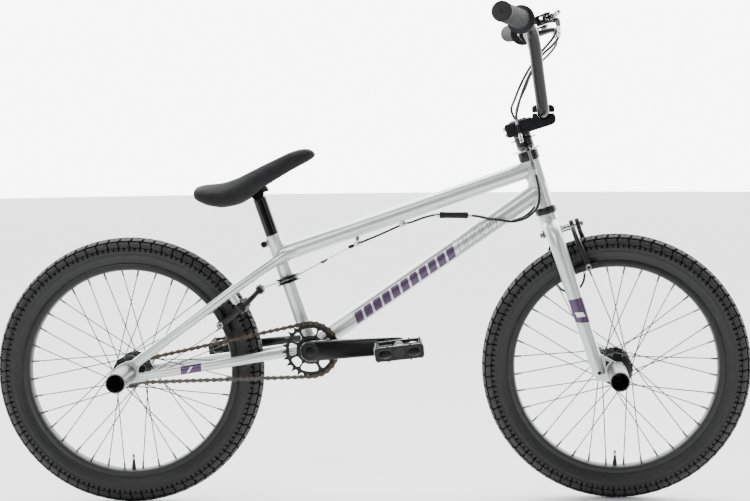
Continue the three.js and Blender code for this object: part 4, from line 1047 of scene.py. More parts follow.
def stadium(r0, r1, length):
    """Outline of a crank: two round ends joined by straight flanks."""
    steps = 16
    lean = math.acos((r0 - r1) / length)
    a = np.linspace(lean, 2 * math.pi - lean, steps * 2)
    b = np.linspace(-lean, lean, steps)
    points = [(r0 * math.cos(t), r0 * math.sin(t)) for t in a]
    return points + [(length + r1 * math.cos(t), r1 * math.sin(t)) for t in b]


def crank_place(sign):
    """From a crank drawn along +X on the right side to its place; sign -1 is the left crank."""
    c, s = math.cos(CRANK_TURN), math.sin(CRANK_TURN)

    def place(p):
        p = np.array(p, float)
        p[:, 1] -= np.clip(p[:, 0], 0, CRANK_LENGTH) * 15 / CRANK_LENGTH
        x, z = p[:, 0] * c - p[:, 2] * s, p[:, 0] * s + p[:, 2] * c
        return np.stack([x * sign, p[:, 1] * sign, z * sign], 1) + BRACKET

    return place


def build_cranks():
    for side, sign in (("right", 1), ("left", -1)):
        place = crank_place(sign)
        arm = Piece()
        arm.add(plate(stadium(19, 15.5, CRANK_LENGTH), 15, lambda p: place(upright(-60.5)(p)), bevel=2.2),
                "gloss_black")
        arm.add(put(lathe([(0.1, -51.7), (16.2, -51.7), (17, -52.5), (17, -68.6), (16.2, -69.5),
                           (14.2, -69.5),
                           (13.4, -68.4), (13.0, -68.4), (12.4, -69.3), (9.2, -69.3), (8.6, -67.2),
                           (4.6, -66.6),
                           (4.2, -63), (0.1, -63)], (0, 0, 0), SIDE, 64), place), "black_alloy")
        for k in range(16):
            t = k * math.pi / 8
            at = np.array([15.3 * math.cos(t), -69.2, 15.3 * math.sin(t)])
            arm.add(put(ball(at, 0.9, 8, 5), place), "black_alloy")
        eye = lathe([(5.4, -52.6), (12.6, -52.6), (13.4, -53.4), (13.4, -68.0), (12.6, -68.9), (7.6, -68.9),
                     (6.9, -68.2), (6.9, -64), (0.1, -64)], (CRANK_LENGTH, 0, 0), SIDE, 48)
        arm.add(put(eye, place), "gloss_black")
        arm.add(put(bar((CRANK_LENGTH, -160, 0), (CRANK_LENGTH, -60, 0), 4.9, 7, 28), place), "satin_steel")
        if sign > 0:
            arm.add(bar(BRACKET + [0, -60, 0], BRACKET + [0, 49, 0], 9.4), "dark_steel")
        arm.build(f"crank_arm_{side}_fine", "crankset", [f"crank_arm_{side}"])
        build_pedal(side, sign)


def build_pedal(side, sign):
    c, s = math.cos(PEDAL_TURN), math.sin(PEDAL_TURN)
    centre = BRACKET + sign * CRANK_LENGTH * np.array([math.cos(CRANK_TURN), 0, math.sin(CRANK_TURN)])

    def place(p):
        p = np.asarray(p, float)
        return np.stack([p[:, 0] * c - p[:, 2] * s, p[:, 1] * sign, p[:, 0] * s + p[:, 2] * c], 1) + centre

    piece = Piece()
    outline = [(-44, -8), (-42.6, -11), (-38, -12.8), (38, -12.8), (42.6, -11), (44, -8),
               (44, 8), (42.6, 11), (38, 12.8), (-38, 12.8), (-42.6, 11), (-44, 8)]
    oval = lambda x: [(x + 12 * math.cos(t), 7.6 * math.sin(t)) for t in np.linspace(0, 2 * math.pi, 24)[:-1]]
    piece.add(plate(outline, 10.6, lambda p: place(upright(-181.6)(p)), [oval(26), oval(-26)], bevel=1.2),
              "pedal_plastic")
    piece.add(plate(outline, 10.6, lambda p: place(upright(-99.4)(p)), [oval(26), oval(-26), circle(6.2, 24)],
                    bevel=1.2), "pedal_plastic")
    for x in (-40, 40):
        piece.add(put(block((x, -140.5, 0), (7.6, 88, 20), 1.6), place), "pedal_plastic")
        for z in (-10.56, 10.56):
            piece.add(put(block((x, -140.5, z), (6.4, 80, 3.6), 1.0), place), "pedal_plastic")
    piece.add(put(lathe([(5.8, -178), (10.6, -178), (11.6, -176), (11.8, -150), (9.6, -146), (9.6, -134),
                         (11.8, -130), (11.8, -106), (11, -104), (5.8, -104)], (0, 0, 0), SIDE, 40), place),
              "pedal_plastic")
    for y in (-124, -157):
        for x in (-24.5, 24.5):
            piece.add(put(block((x, y, -1), (26, 5.6, 19), 1.4), place), "pedal_plastic")
    cap = lathe([(0.1, -187), (8.4, -187), (9.4, -187.9), (10.2, -187.2), (10.4, -184), (0.1, -184)],
                (0, 0, 0), SIDE, 36)
    piece.add(put(cap, place), "pad_rubber")
    for z in (-1, 1):
        for x, y in [(sx * 39, y) for sx in (-1, 1) for y in (-176, -158, -140, -122, -104)] + \
                [(sx * 20, y) for sx in (-1, 1) for y in (-184, -97)]:
            foot = np.array([x, y, z * 12.0])
            piece.add(put(bar(foot, foot + [0, 0, z * 2.9], 1.9, 1.7, 10, 0.4), place), "pedal_plastic")
    for x in (-44.2, 44.2):
        piece.add(put(block((x, -140.5, 1.5), (1.8, 44, 11), 0.7), place), "reflector_face")
    piece.build(f"pedal_{side}_fine", f"{side}_pedal", [f"pedal_{side}"])


# ---------------------------------------------------------------- seat
PIVOT = on_seat(308)
SADDLE = np.array([
    (127, 46, 598, 581), (131, 58, 602, 573.5), (152, 67, 604.5, 562), (180, 69, 607.5, 556),
    (207, 61, 616, 561), (232, 46, 628, 577), (256, 34, 639.5, 597), (282, 27, 651.5, 613.5),
    (308, 23.5, 663.5, 629), (332, 22, 671.5, 641.5), (347, 18.5, 670.5, 648.5), (355, 10, 664, 654)])


def saddle_surface(inset=0.0):
    """Closed skin of the saddle from its stations; inset moves it inwards."""
    rows, around = 64, 56
    path = curve(SADDLE[:, :3], rows)
    low = np.interp(path[:, 0], SADDLE[:, 0], SADDLE[:, 3])
    angle = np.linspace(0, 2 * math.pi, around, endpoint=False)
    verts = []
    for (x, half, top), bottom in zip(path, low):
        half, middle = max(half - inset, 1.5), (top + bottom) / 2
        height = max((top - bottom) / 2 - inset, 1.5)
        cy, cz = np.sin(angle), np.cos(angle)
        y = np.sign(cy) * abs(cy) ** 0.82 * half
        z = np.sign(cz) * abs(cz) ** np.where(cz > 0, 0.95, 0.6) * height
        dip = 1.6 * math.exp(-((x - 200) / 45) ** 2) * np.clip(cz, 0, 1) * np.exp(-(y / 16) ** 2)
        up = np.clip(-cz, 0, 1) * 9 * np.clip((half - 9 - abs(y)) / max(half, 1), 0, 1) * min(1, height / 20)
        verts.append(np.stack([np.full(around, x), y, middle + z - dip + up], 1))
    faces = grid_faces(rows, around)
    faces += [list(range(around))[::-1], list(range((rows - 1) * around, rows * around))]
    return np.vstack(verts), faces


def inflate(obj):
    """Presses the cover out over its foam: a short cloth run with pressure, applied to the mesh."""
    bpy.ops.object.select_all(action="DESELECT")
    bpy.context.view_layer.objects.active = obj
    obj.select_set(True)
    remesh = obj.modifiers.new("remesh", "REMESH")
    remesh.mode, remesh.voxel_size = "VOXEL", 0.005
    bpy.ops.object.modifier_apply(modifier="remesh")
    start = np.array([v.co[:] for v in obj.data.vertices])
    cloth = obj.modifiers.new("cloth", "CLOTH")
    cloth.settings.quality = 6
    cloth.settings.mass = 0.4
    cloth.settings.tension_stiffness = cloth.settings.compression_stiffness = 22
    cloth.settings.bending_stiffness = 3.0
    cloth.settings.use_pressure = True
    cloth.settings.uniform_pressure_force = 4.0
    cloth.settings.effector_weights.gravity = 0.0
    cloth.point_cache.frame_start, cloth.point_cache.frame_end = 1, 16
    scene = bpy.context.scene
    for frame_number in range(1, 17):
        scene.frame_set(frame_number)
    ready = obj.evaluated_get(bpy.context.evaluated_depsgraph_get()).to_mesh()
    moved = np.array([v.co[:] for v in ready.vertices])
    obj.evaluated_get(bpy.context.evaluated_depsgraph_get()).to_mesh_clear()
    obj.modifiers.remove(cloth)
    scene.frame_set(1)
    step = moved - start
    far = np.linalg.norm(step, axis=1)
    step *= np.minimum(1, 0.0025 / np.maximum(far, 1e-9))[:, None]
    obj.data.vertices.foreach_set("co", (start + step).ravel())
    relax = obj.modifiers.new("relax", "SMOOTH")
    relax.factor, relax.iterations = 0.5, 3
    fine = obj.modifiers.new("fine", "SUBSURF")
    fine.levels = fine.render_levels = 1
    for name in ("relax", "fine"):
        bpy.ops.object.modifier_apply(modifier=name)


def recess(obj):
    """Lifts the underside clear of the pivot between its cheeks."""
    points = np.array([v.co[:] for v in obj.data.vertices]) * 1000
    rel = points - PIVOT
    inside = (abs(rel[:, 1]) < 17) & (np.hypot(rel[:, 0], rel[:, 2]) < 24.5)
    points[inside, 2] = PIVOT[2] + np.sqrt(24.5 ** 2 - rel[inside, 0] ** 2)
    obj.data.vertices.foreach_set("co", (points / 1000).ravel())
    obj.data.update()


def build_seat():
    post = Piece()
    foot, head = on_seat(118), PIVOT - SEAT * 8
    post.add(bar(foot, head, 12.7, sides=64), "gloss_black")
    for k in range(6):
        post.add(lathe([(12.72, 196 - k * 9), (12.76, 196.2 - k * 9), (12.76, 196.6 - k * 9),
                        (12.72, 196.8 - k * 9)],
                       BRACKET, SEAT, 48), "matte_black")
    post.add(lathe([(0.1, -13.6), (5, -13.6), (5.4, -15), (11.2, -15), (12, -14.2), (12, 14.2), (11.2, 15),
                    (5.4, 15), (5, 13.6), (0.1, 13.6)], PIVOT, SIDE, 56), "gloss_black")
    for k in range(24):
        t = k * math.pi / 12
        ridge = PIVOT + 11.9 * np.array([math.cos(t), 0, math.sin(t)])
        post.add(bar(ridge + [0, -14, 0], ridge + [0, 14, 0], 0.5, sides=6, round_end=0.1), "gloss_black")
    post.build("seat_post_fine", "seat_support", ["seat_post"])

    clamp = Piece()
    sector = [(PIVOT[0] + r * math.cos(t), PIVOT[2] + r * math.sin(t))
              for r, sweep in ((12.4, (16, 168)), (21.5, (168, 16)))
              for t in np.radians(np.linspace(*sweep, 18))]
    clamp.add(plate(sector, 29, upright(0), bevel=0.9), "matte_black")
    clamp.add(screw(PIVOT + [-4, -14.6, 8], (0, -1, 0), 4.4, 4, 0.5), "bright_steel")
    clamp.build("saddle_bracket_fine", "seat", ["saddle_bracket"])

    cover = Piece()
    cover.add(saddle_surface(1.2), "saddle_cover")
    obj = cover.build("saddle_fine", "seat", ["saddle"], sharp=70)
    inflate(obj)
    obj.data.polygons.foreach_set("use_smooth", [True] * len(obj.data.polygons))
    recess(obj)


build_drivetrain()
build_seat()


# ---------------------------------------------------------------- fork
def along_steer(outline, sides=56, place=steer_place):
    """Solid of revolution round the steering axis."""
    return put(lathe(outline, (0, 0, 0), (0, 0, 1), sides), place)


def build_fork():
    path = curve([(0, -3, 293), (0.5, -16, 291.5), (1.5, -34, 282), (2.3, -45, 262), (2.6, -48, 238),
                  (3.2, -51, 130), (4, -54, 3)], 90)
    radius = np.interp(np.linspace(0, 1, 90), [0, 0.97, 1], [15.3, 12.3, 11.4])
    outline = [(-6, -7), (10, -13), (34, -17), (48, -13), (54, 0), (50, 13), (38, 18), (14, 42), (4, 48),
               (-4, 30)]
    hole = [(19, 13), (22, 25), (30, 20)]
    split = int(np.argmin(abs(path[:, 2] - 232)))
    crown = Piece()
    for turn in (same, flip):
        crown.add(put(turn(tube(path[:split + 1], radius[:split + 1], 56, caps=False)), steer_place),
                  "frame_paint")
    crown.add(along_steer([(14.4, 272.4), (16.2, 272.4), (17, 273.2), (17, 313), (18.4, 314), (18.4, 316),
                           (14.4, 316)], 64), "frame_paint")
    crown.add(along_steer([(12.5, 316), (14.25, 316), (14.25, 498), (12.5, 498)], 48), "satin_steel")
    for s in (-1, 1):
        ring = np.array([(9.6 * math.cos(t), s * (16.2 + 0.8 * math.cos(2 * t)), 291.5 + 14.9 * math.sin(t))
                         for t in np.linspace(0, 2 * math.pi, 60)[:-1]])
        ring[:, 0] *= 1.38
        crown.add(put(bead(ring, 1.4, 34), steer_place), "weld_paint")
    crown.build("fork_crown_fine", "steering", ["fork_crown"])
    for side, turn in SIDES:
        leg = Piece()
        leg.add(put(turn(tube(path[split:], radius[split:], 56)), steer_place), "frame_paint")
        drop = plate(outline, 6, upright(-53), [hole, circle(5.1, 28, (36, 0))], bevel=0.7)
        leg.add(put(turn(drop), steer_place), "frame_paint")
        leg.add(put(turn(lathe([(2.6, 0), (3.4, 0), (3.4, 3.4), (2.6, 3.4)], (4.2, -67.2, 8), (0, 1, 0), 24)),
                    steer_place), "matte_black")
        leg.add(put(turn(lathe([(0.1, 0), (3.3, 0), (3.3, 0.5), (0.1, 0.5)], (4.2, -66.9, 8), (0, 1, 0), 24)),
                    steer_place), "matte_black")
        start, end = path[-8], path[split]
        axis = unit(end - start)
        length = np.linalg.norm(end - start)
        low = length * 0.36
        wall, taper = radius[-8] + 0.15, (radius[split] - radius[-8]) / length
        decal = [(low, -17), (low + 9, 17), (length * 0.615, 17), (length * 0.60, -17)]
        leg.add(put(turn(wrapped(decal, start, axis, wall, taper=taper)), steer_place), "purple_print")
        mark = [(low + 14, -8), (low + 17, 7), (low + 27, 9), (low + 23, -6)]
        leg.add(put(turn(wrapped(mark, start, axis, wall + 0.12, taper=taper)), steer_place), "white_print")
        leg.build(f"fork_leg_{side}_fine", "steering", [f"fork_leg_{side}"])


# ---------------------------------------------------------------- stem, bars, grips
BAR_CENTRE = np.array([50.0, 0.0, 499.5])
CLAMP_TILT = math.radians(-17)


def clamp_point(along, up):
    c, s = math.cos(CLAMP_TILT), math.sin(CLAMP_TILT)
    return (BAR_CENTRE[0] + along * c - up * s, BAR_CENTRE[2] + along * s + up * c)


def build_stem():
    body = [(-27, 477.5), (-25.5, 474.6), (-22.5, 473.5), (60, 473.5), (66, 476), (69, 481), (70, 486),
            clamp_point(21, -3), clamp_point(19.5, -0.8), clamp_point(11.4, -0.8)]
    body += [(BAR_CENTRE[0] + 11.5 * math.cos(t), BAR_CENTRE[2] + 11.5 * math.sin(t))
             for t in np.radians(np.linspace(-27, -187, 14))]
    body += [clamp_point(-11.4, -0.8), clamp_point(-20, -0.8), (27, 497.5), (24, 500), (-22.5, 500),
             (-25.5, 498.8),
             (-27, 496)]
    piece = Piece()
    piece.add(plate(body, 50, lambda p: steer_place(upright(0)(p)), bevel=1.8), "black_alloy")
    piece.add(along_steer([(13.9, 499), (17, 499), (17, 501.6), (15.8, 502.6), (5, 502.8), (5, 500.6),
                           (3.6, 500.4),
                           (0.1, 500.4)], 48), "gloss_black")
    for y in (-1, 1):
        foot = steer_place([-27.2, 16 * y, 480 if y > 0 else 492])
        piece.add(screw(foot, steer_dir([-1, 0, 0]), 4.3, 3.6), "bright_steel")
    piece.build("stem_fine", "steering", ["stem"])

    cap = [clamp_point(-21, 2.4), clamp_point(-19.5, 0.8), clamp_point(-11.4, 0.8)]
    cap += [(BAR_CENTRE[0] + 11.5 * math.cos(t), BAR_CENTRE[2] + 11.5 * math.sin(t))
            for t in np.radians(np.linspace(153, -7, 14))]
    cap += [clamp_point(11.4, 0.8), clamp_point(19.5, 0.8), clamp_point(21, 2.4), clamp_point(21, 10),
            clamp_point(15.5, 15), clamp_point(-15.5, 15), clamp_point(-21, 10)]
    piece = Piece()
    piece.add(plate(cap, 50, lambda p: steer_place(upright(0)(p)), bevel=1.6), "black_alloy")
    up = steer_dir([-math.sin(CLAMP_TILT), 0, math.cos(CLAMP_TILT)])
    for y in (-17, 17):
        for along in (-16.6, 16.6):
            x, z = clamp_point(along, 9.5)
            piece.add(screw(steer_place([x, y, z]), up, 4.1, 4.2), "bright_steel")
    piece.build("stem_clamp_cap_fine", "steering", ["stem_clamp_cap"])


BAR_BENDS = np.array([
    (50, 0, 499.5), (50, -32, 499.5), (51, -55, 504.5), (54, -71, 522), (61.5, -100, 566),
    (70.5, -138, 618), (72.5, -155, 641), (69.5, -176, 656)])
GRIP_FROM, GRIP_TO = np.array([63.5, -203, 663.5]), np.array([33.4, -350.5, 679.6])


def on_grip(t):
    return GRIP_FROM + (GRIP_TO - GRIP_FROM) * t


BAR_RIGHT = np.vstack([BAR_BENDS, [on_grip(t) for t in (0, 0.1, 0.5, 1)]])


def build_bars():
    whole = np.vstack([mirror(BAR_RIGHT[:0:-1]), BAR_RIGHT])
    piece = Piece()
    piece.add(put(tube(curve(whole, 300), BAR_R, 40), steer_place), "gloss_black")
    cross = BAR_RIGHT[4]
    piece.add(put(tube(np.linspace(cross, mirror(cross), 12), 8.0, 32), steer_place), "gloss_black")
    d = unit(np.array([70.5, -138, 618]) - np.array([54, -71, 522]))
    for s in (1, -1):
        centre = cross if s > 0 else mirror(cross)
        axis = d if s > 0 else mirror(d)
        ring = meet(centre, np.array([0, s, 0]), 8.0, centre, axis, BAR_R, 44)
        piece.add(put(bead(ring, 1.2, 26), steer_place), "gloss_black")
    for y in np.linspace(-20, 20, 41):
        piece.add(put(lathe([(11.08, y - 0.2), (11.28, y), (11.08, y + 0.2)], (50, 0, 499.5), SIDE, 36,
                            closed=False),
                      steer_place), "gloss_black")
    piece.build("handlebar_fine", "steering", ["handlebar"])
    for side, turn in SIDES:
        grip = Piece()
        grip.add(put(turn(grip_surface()), steer_place), "grip_rubber")
        end = on_grip(1)
        axis = unit(GRIP_TO - on_grip(0.1))
        grip.add(put(turn(lathe([(2.6, 1.3), (15.5, 1.3), (16.6, 1.0), (17.2, 0), (17.2, -2), (2.6, -2)],
                                end, axis, 56)), steer_place), "pad_rubber")
        grip.add(put(turn(lathe([(0.1, 0.2), (3.4, 0.2), (3.4, 1.35), (2.5, 1.35), (0.1, 0.6)], end, axis,
                                32)),
                     steer_place), "matte_black")
        grip.build(f"grip_{side}_fine", "steering", [f"grip_{side}"])


def grip_surface():
    """Flanged grip with rows of small ribs."""
    start = on_grip(0.1)
    axis = unit(GRIP_TO - start)
    length = float(np.linalg.norm(GRIP_TO - start))
    a, u, w = basis(axis)
    outline = [(11.3, 0.2), (24, 0.2), (25, 1.0), (25, 2.2), (24.2, 3.0), (19, 4.2), (17.4, 6), (17.2, 8)]
    outline += [(17.0, t) for t in np.arange(9, length - 10, 0.8)]
    outline += [(16.6, length - 9), (17.3, length - 6), (17.5, length - 4), (17.5, length),
                (16.8, length + 1.2),
                (11.3, length + 1.2)]
    outline = np.array(outline)
    sides = 120
    angle = np.linspace(0, 2 * math.pi, sides, endpoint=False)
    r = np.repeat(outline[:, :1], sides, 1)
    body = (outline[:, 1] > 9.5) & (outline[:, 1] < length - 10)
    wave = 0.30 * np.sin(angle[None, :] * 30) * np.sin(outline[:, 1:2] * 1.6) - 0.35
    ring = -0.5 * (np.abs((outline[:, 1:2] - 9) % 26 - 2) < 0.7)
    r[body] += (wave + ring)[body]
    verts = start + outline[:, 1][:, None, None] * a + r[:, :, None] * (
        np.cos(angle)[:, None] * u + np.sin(angle)[:, None] * w)[None]
    return verts.reshape(-1, 3), grid_faces(len(outline), sides)


# ---------------------------------------------------------------- brake levers
def build_levers():
    clamp_at = BAR_RIGHT[7] * 0.45 + BAR_RIGHT[8] * 0.55
    axis = unit(BAR_RIGHT[8] - BAR_RIGHT[7])
    x, y, z = 104.0, -184.0, 655.0
    for side, turn in SIDES:
        mount = Piece()

        def add(surface, look="black_alloy"):
            mount.add(put(turn(surface), steer_place), look)

        add(lathe([(11.6, -5.6), (15.2, -5.6), (15.8, -5), (15.8, 5), (15.2, 5.6), (11.6, 5.6)], clamp_at,
                  axis, 48))
        out = unit(np.array([88, -188, 656]) - clamp_at)
        add(bar(clamp_at + out * 13, (88, -187, 656), 6.6, 6.2, 24))
        add(block((88, -181, 655), (8, 25, 17.4), 1.6))
        for s in (-1, 1):
            add(block((100, -184, z + s * 7.3), (25, 15.6, 3.4), 1.2))
        add(tube(curve([(88, -174, 653), (104, -166, 651.5), (116, -158, 649.5), (122, -155, 647)], 16),
                 4.6, 24))
        add(bar((122, -158, 649), (120.5, -153.6, 638), 4.1, 4.1, 24, 0.8), "satin_steel")
        for k in range(5):
            t = 0.12 + 0.075 * k
            p = np.array([122, -158, 649]) * (1 - t) + np.array([119, -150, 628]) * t
            add(lathe([(3.9, -0.5), (4.5, -0.3), (4.5, 0.3), (3.9, 0.5)], p, (-3, 8, -21), 28), "satin_steel")
        add(bar((120.6, -154, 639), (119, -150, 628), 3.3, 3.3, 20, 0.5), "chrome")
        add(bar((x, y, z - 8.4), (x, y, z + 8.4), 2.3, sides=20), "bright_steel")
        add(screw((x, y, z + 8.6), (0, 0, 1), 3.8, 1.9, 0.45, 24), "bright_steel")
        clamp_screw = clamp_at - out * 14.5
        add(screw(clamp_screw, -out, 3.2, 2.4, 0.5, 20), "bright_steel")
        mount.build(f"lever_mount_{side}_fine", "steering", [f"lever_mount_{side}"])

        lever = Piece()
        path = curve([(x, y, z), (115, -202, 655), (119, -240, 653.5), (118, -278, 652.5),
                      (121.5, -303, 652)], 60)
        t = np.linspace(0, 1, 60)
        verts, faces = tube(path, np.interp(t, [0, 0.08, 0.3, 0.93, 1], [5.2, 4.6, 4.4, 4.5, 4.2]), 24)
        lever.add(put(turn((verts, faces)), steer_place), "chrome")
        lever.add(put(turn(ball(path[-1], 5.0, 24, 14)), steer_place), "chrome")
        lever.add(put(turn(lathe([(2.6, -5), (7.0, -5), (7.5, -4.5), (7.5, 4.5), (7.0, 5), (2.6, 5)],
                                 (x, y, z), (0, 0, 1), 40)), steer_place), "chrome")
        lever.build(f"brake_lever_{side}_fine", f"{side}_lever", [f"brake_lever_{side}"])


# ---------------------------------------------------------------- detangler
def build_detangler():
    lower = Piece()
    lower.add(along_steer([(14.9, 440.6), (26.6, 441.2), (28, 441.4), (28.5, 442), (28.5, 443.6), (28, 444.2),
                           (14.9, 444.6)], 72, head_place), "chrome")
    for s in (-1, 1):
        foot = head_place([0, 26 * s, 404])
        barrel = [(0.1, 0), (2.9, 0), (3.3, 0.6), (3.3, 12), (2.4, 12.6), (2.4, 14), (3.4, 14.6)]
        for k in range(12):
            barrel += [(3.4, 15 + k * 1.7), (3.0, 15.8 + k * 1.7)]
        barrel += [(3.4, 36), (4.9, 36.2), (4.9, 37.4), (0.1, 37.4)]
        lower.add(lathe(barrel, foot, STEER, 28), "satin_steel")
        lower.add(nut(head_place([0, 26 * s, 444.2]), STEER, 4.6, 3), "dark_steel")
    lower.build("detangler_lower_plate_fine", "frame", ["detangler_lower_plate"])

    upper = Piece()
    upper.add(along_steer([(14.6, 445.8), (16, 445.8), (16.5, 446.4), (16.5, 451), (15.9, 451.4),
                           (15.9, 452.2),
                           (16.5, 452.6), (16.5, 463), (24.8, 463.5), (25.4, 464), (25.4, 464.9),
                           (24.8, 465.3),
                           (16.5, 465.8), (16.5, 472.6), (16, 473.1), (14.6, 473.1)], 72), "black_alloy")
    for radius, low, high in ((17.0, 447.4, 450.6), (17.1, 468.4, 471.6)):
        upper.add(along_steer([(14.6, low), (radius - 0.4, low), (radius, low + 0.4), (radius, high - 0.4),
                               (radius - 0.4, high), (14.6, high)], 64), "satin_steel")
    for s in (-1, 1):
        upper.add(put(block((-3, 25.5 * s, 464.4), (12, 15, 2.1), 0.8), steer_place), "black_alloy")
        a, b = np.array([-4, 30.0 * s, 459]), np.array([-2, 30.4 * s, 493])
        middle = a + (b - a) * 0.5
        upper.add(put(bar(a, middle, 3.3, 3.3, 24, 0.6), steer_place), "chrome")
        upper.add(put(bar(middle, b, 3.5, 3.2, 24, 0.6), steer_place), "matte_black")
        for k in range(7):
            p = a + (b - a) * (0.24 + 0.045 * k)
            upper.add(put(lathe([(3.2, -0.45), (3.7, -0.2), (3.7, 0.2), (3.2, 0.45)], p, b - a, 24),
                          steer_place),
                      "chrome")
        upper.add(put(nut(a + (b - a) * 0.16, b - a, 4.4, 2.4), steer_place), "chrome")
    upper.build("detangler_upper_plate_fine", "steering", ["detangler_upper_plate"])


# ---------------------------------------------------------------- front brake
BOLT_Z = 280.6


def build_front_brake():
    def add(piece, surface, look):
        piece.add(put(surface, steer_place), look)

    bolt = Piece()
    ahead = (1, 0, 0)
    add(bolt, bar((-25, 0, BOLT_Z), (60, 0, BOLT_Z), 2.8, sides=24), "bright_steel")
    add(bolt, nut((-25, 0, BOLT_Z), ahead, 7.0, 7.2), "bright_steel")
    add(bolt, lathe([(3, -18), (7.8, -18), (7.8, -17), (3, -17)], (0, 0, BOLT_Z), ahead, 32), "satin_steel")
    add(bolt, lathe([(3, 17.4), (8.4, 17.4), (8.4, 20), (7.0, 20.6), (7.0, 23), (8.0, 23.6), (8.0, 26),
                     (6.6, 26.6),
                     (6.6, 29.4), (7.8, 30), (7.8, 33.4), (3, 33.4)], (0, 0, BOLT_Z), ahead, 40),
        "bright_steel")
    add(bolt, nut((54.4, 0, BOLT_Z), ahead, 6.2, 4.6), "bright_steel")
    bolt.build("front_brake_bolt_fine", "steering", ["front_brake_bolt"])

    for side, middle, turn in (("right", 38.4, same), ("left", 49.5, flip)):
        arm = Piece()

        def put_in(surface, look="black_alloy"):
            arm.add(put(turn(surface), steer_place), look)

        put_in(lathe([(3.5, -4.1), (10, -4.1), (10.9, -3.4), (10.9, 3.4), (10, 4.1), (3.5, 4.1)],
                     (middle, 0, BOLT_Z), ahead, 48))
        path = curve([(middle, -4, BOLT_Z - 1), (middle, -16, 277), (middle, -27, 269),
                      (middle + 0.5, -35, 257),
                      (middle + 2, -38, 243), (middle + 4, -38.4, 222), (43.6, -38, 206)], 50)
        put_in(tube(path, np.interp(np.linspace(0, 1, 50), [0, 0.3, 1], [4.3, 4.4, 6.4]), 28))
        put_in(bar((44, -47, 200.5), (44, -28, 200.5), 6.8, 6.8, 32, 1.0))
        put_in(lathe([(2.2, 0), (4.8, 0), (5.4, 0.6), (5.4, 3.2), (4.8, 3.8), (2.2, 3.8), (2.2, 2)],
                     (44, -47, 200.5), (0, -1, 0), 28), "bright_steel")
        put_in(pad_block((42, -24.4, 198.4), 44, 9.2, 10.2), "pad_rubber")
        arm.build(f"front_brake_arm_{side}_fine", f"front_brake_{side}", [f"front_brake_arm_{side}"])


def pad_block(centre, length, width, height):
    """Brake block with grooves across its face."""
    verts, faces = [], []
    cuts = 5
    step = length / cuts
    for k in range(cuts):
        part = block((centre[0] - length / 2 + step * (k + 0.5), centre[1], centre[2]),
                     (step - 1.1, width, height), 0.8)
        base = len(verts)
        verts += list(part[0])
        faces += [[i + base for i in f] for f in part[1]]
    core = block(centre, (length - 1, width - 2.4, height - 1.6), 0.6)
    base = len(verts)
    verts += list(core[0])
    faces += [[i + base for i in f] for f in core[1]]
    return np.array(verts), faces


def build_rear_brake():
    at = brake_place
    for side, turn in SIDES:
        arm = Piece()

        def add(surface, look="black_alloy"):
            arm.add(turn(surface), look)

        pivot_axis = at(243, 40, 1) - at(243, 40, 0)
        add(lathe([(5.6, 18.7), (9.4, 18.7), (10, 19.4), (10, 25), (9.3, 25.6), (9.3, 30), (9.9, 30.6),
                   (9.2, 36.4),
                   (5, 37), (0.1, 37)], at(243, 40, 0), pivot_axis, 48))
        add(screw(at(243, 40, 36), pivot_axis, 5.4, 3.4, 0.5), "dark_steel")
        spring = curve([at(243, 40, 21), at(250, 34, 30), at(262, 30, 31), at(270, 30, 26)], 24)
        add(tube(spring, 0.8, 10), "wire_steel")
        upper = curve([at(243, 40, 28), at(256, 38, 27.5), at(268, 35, 26), at(279, 26, 24),
                       at(289, 16.5, 22)], 40)
        add(tube(upper, np.interp(np.linspace(0, 1, 40), [0, 0.4, 1], [6.6, 5.2, 4.6]), 24))
        add(bar(at(289, 16, 15.4), at(289, 16, 29.6), 5.2, 5.2, 28, 0.9))
        add(screw(at(289, 16, 29), pivot_axis, 4.4, 3.0, 0.5), "bright_steel")
        add(bar(at(289, 16, 13), at(289, 16, 16), 3.6, 3.6, 16), "bright_steel")
        add(bar(at(283, 13, 22), at(297, 13, 22), 1.9, 1.9, 14), "satin_steel")
        lower = curve([at(243, 40, 28), at(228, 40.5, 30), at(212, 40.3, 31.5), at(194, 40, 31)], 30)
        add(tube(lower, np.interp(np.linspace(0, 1, 30), [0, 0.5, 1], [7.4, 6.6, 6.6]), 24))
        add(bar(at(194, 49, 31), at(194, 27, 31), 7.4, 6.6, 36, 1.2))
        add(lathe([(1.9, 0), (5.0, 0), (5.6, 0.6), (5.6, 2.4), (5.0, 3), (1.9, 3), (1.9, 1)],
                  at(194, 48.6, 31),
                  (0, -1, 0), 28), "bright_steel")
        slope = STAY_SLOPE - math.radians(9)
        long = np.array([-math.sin(slope), 0, math.cos(slope)])
        across = np.array([math.cos(slope), 0, math.sin(slope)])
        centre = at(198, 24.5, 30)
        verts, faces = pad_block((0, 0, 0), 50, 9.2, 11.8)
        turned_pad = centre + verts[:, :1] * long + verts[:, 1:2] * SIDE + verts[:, 2:3] * across
        add((turned_pad, faces), "pad_rubber")
        arm.build(f"rear_brake_arm_{side}_fine", f"rear_brake_{side}", [f"rear_brake_arm_{side}"])


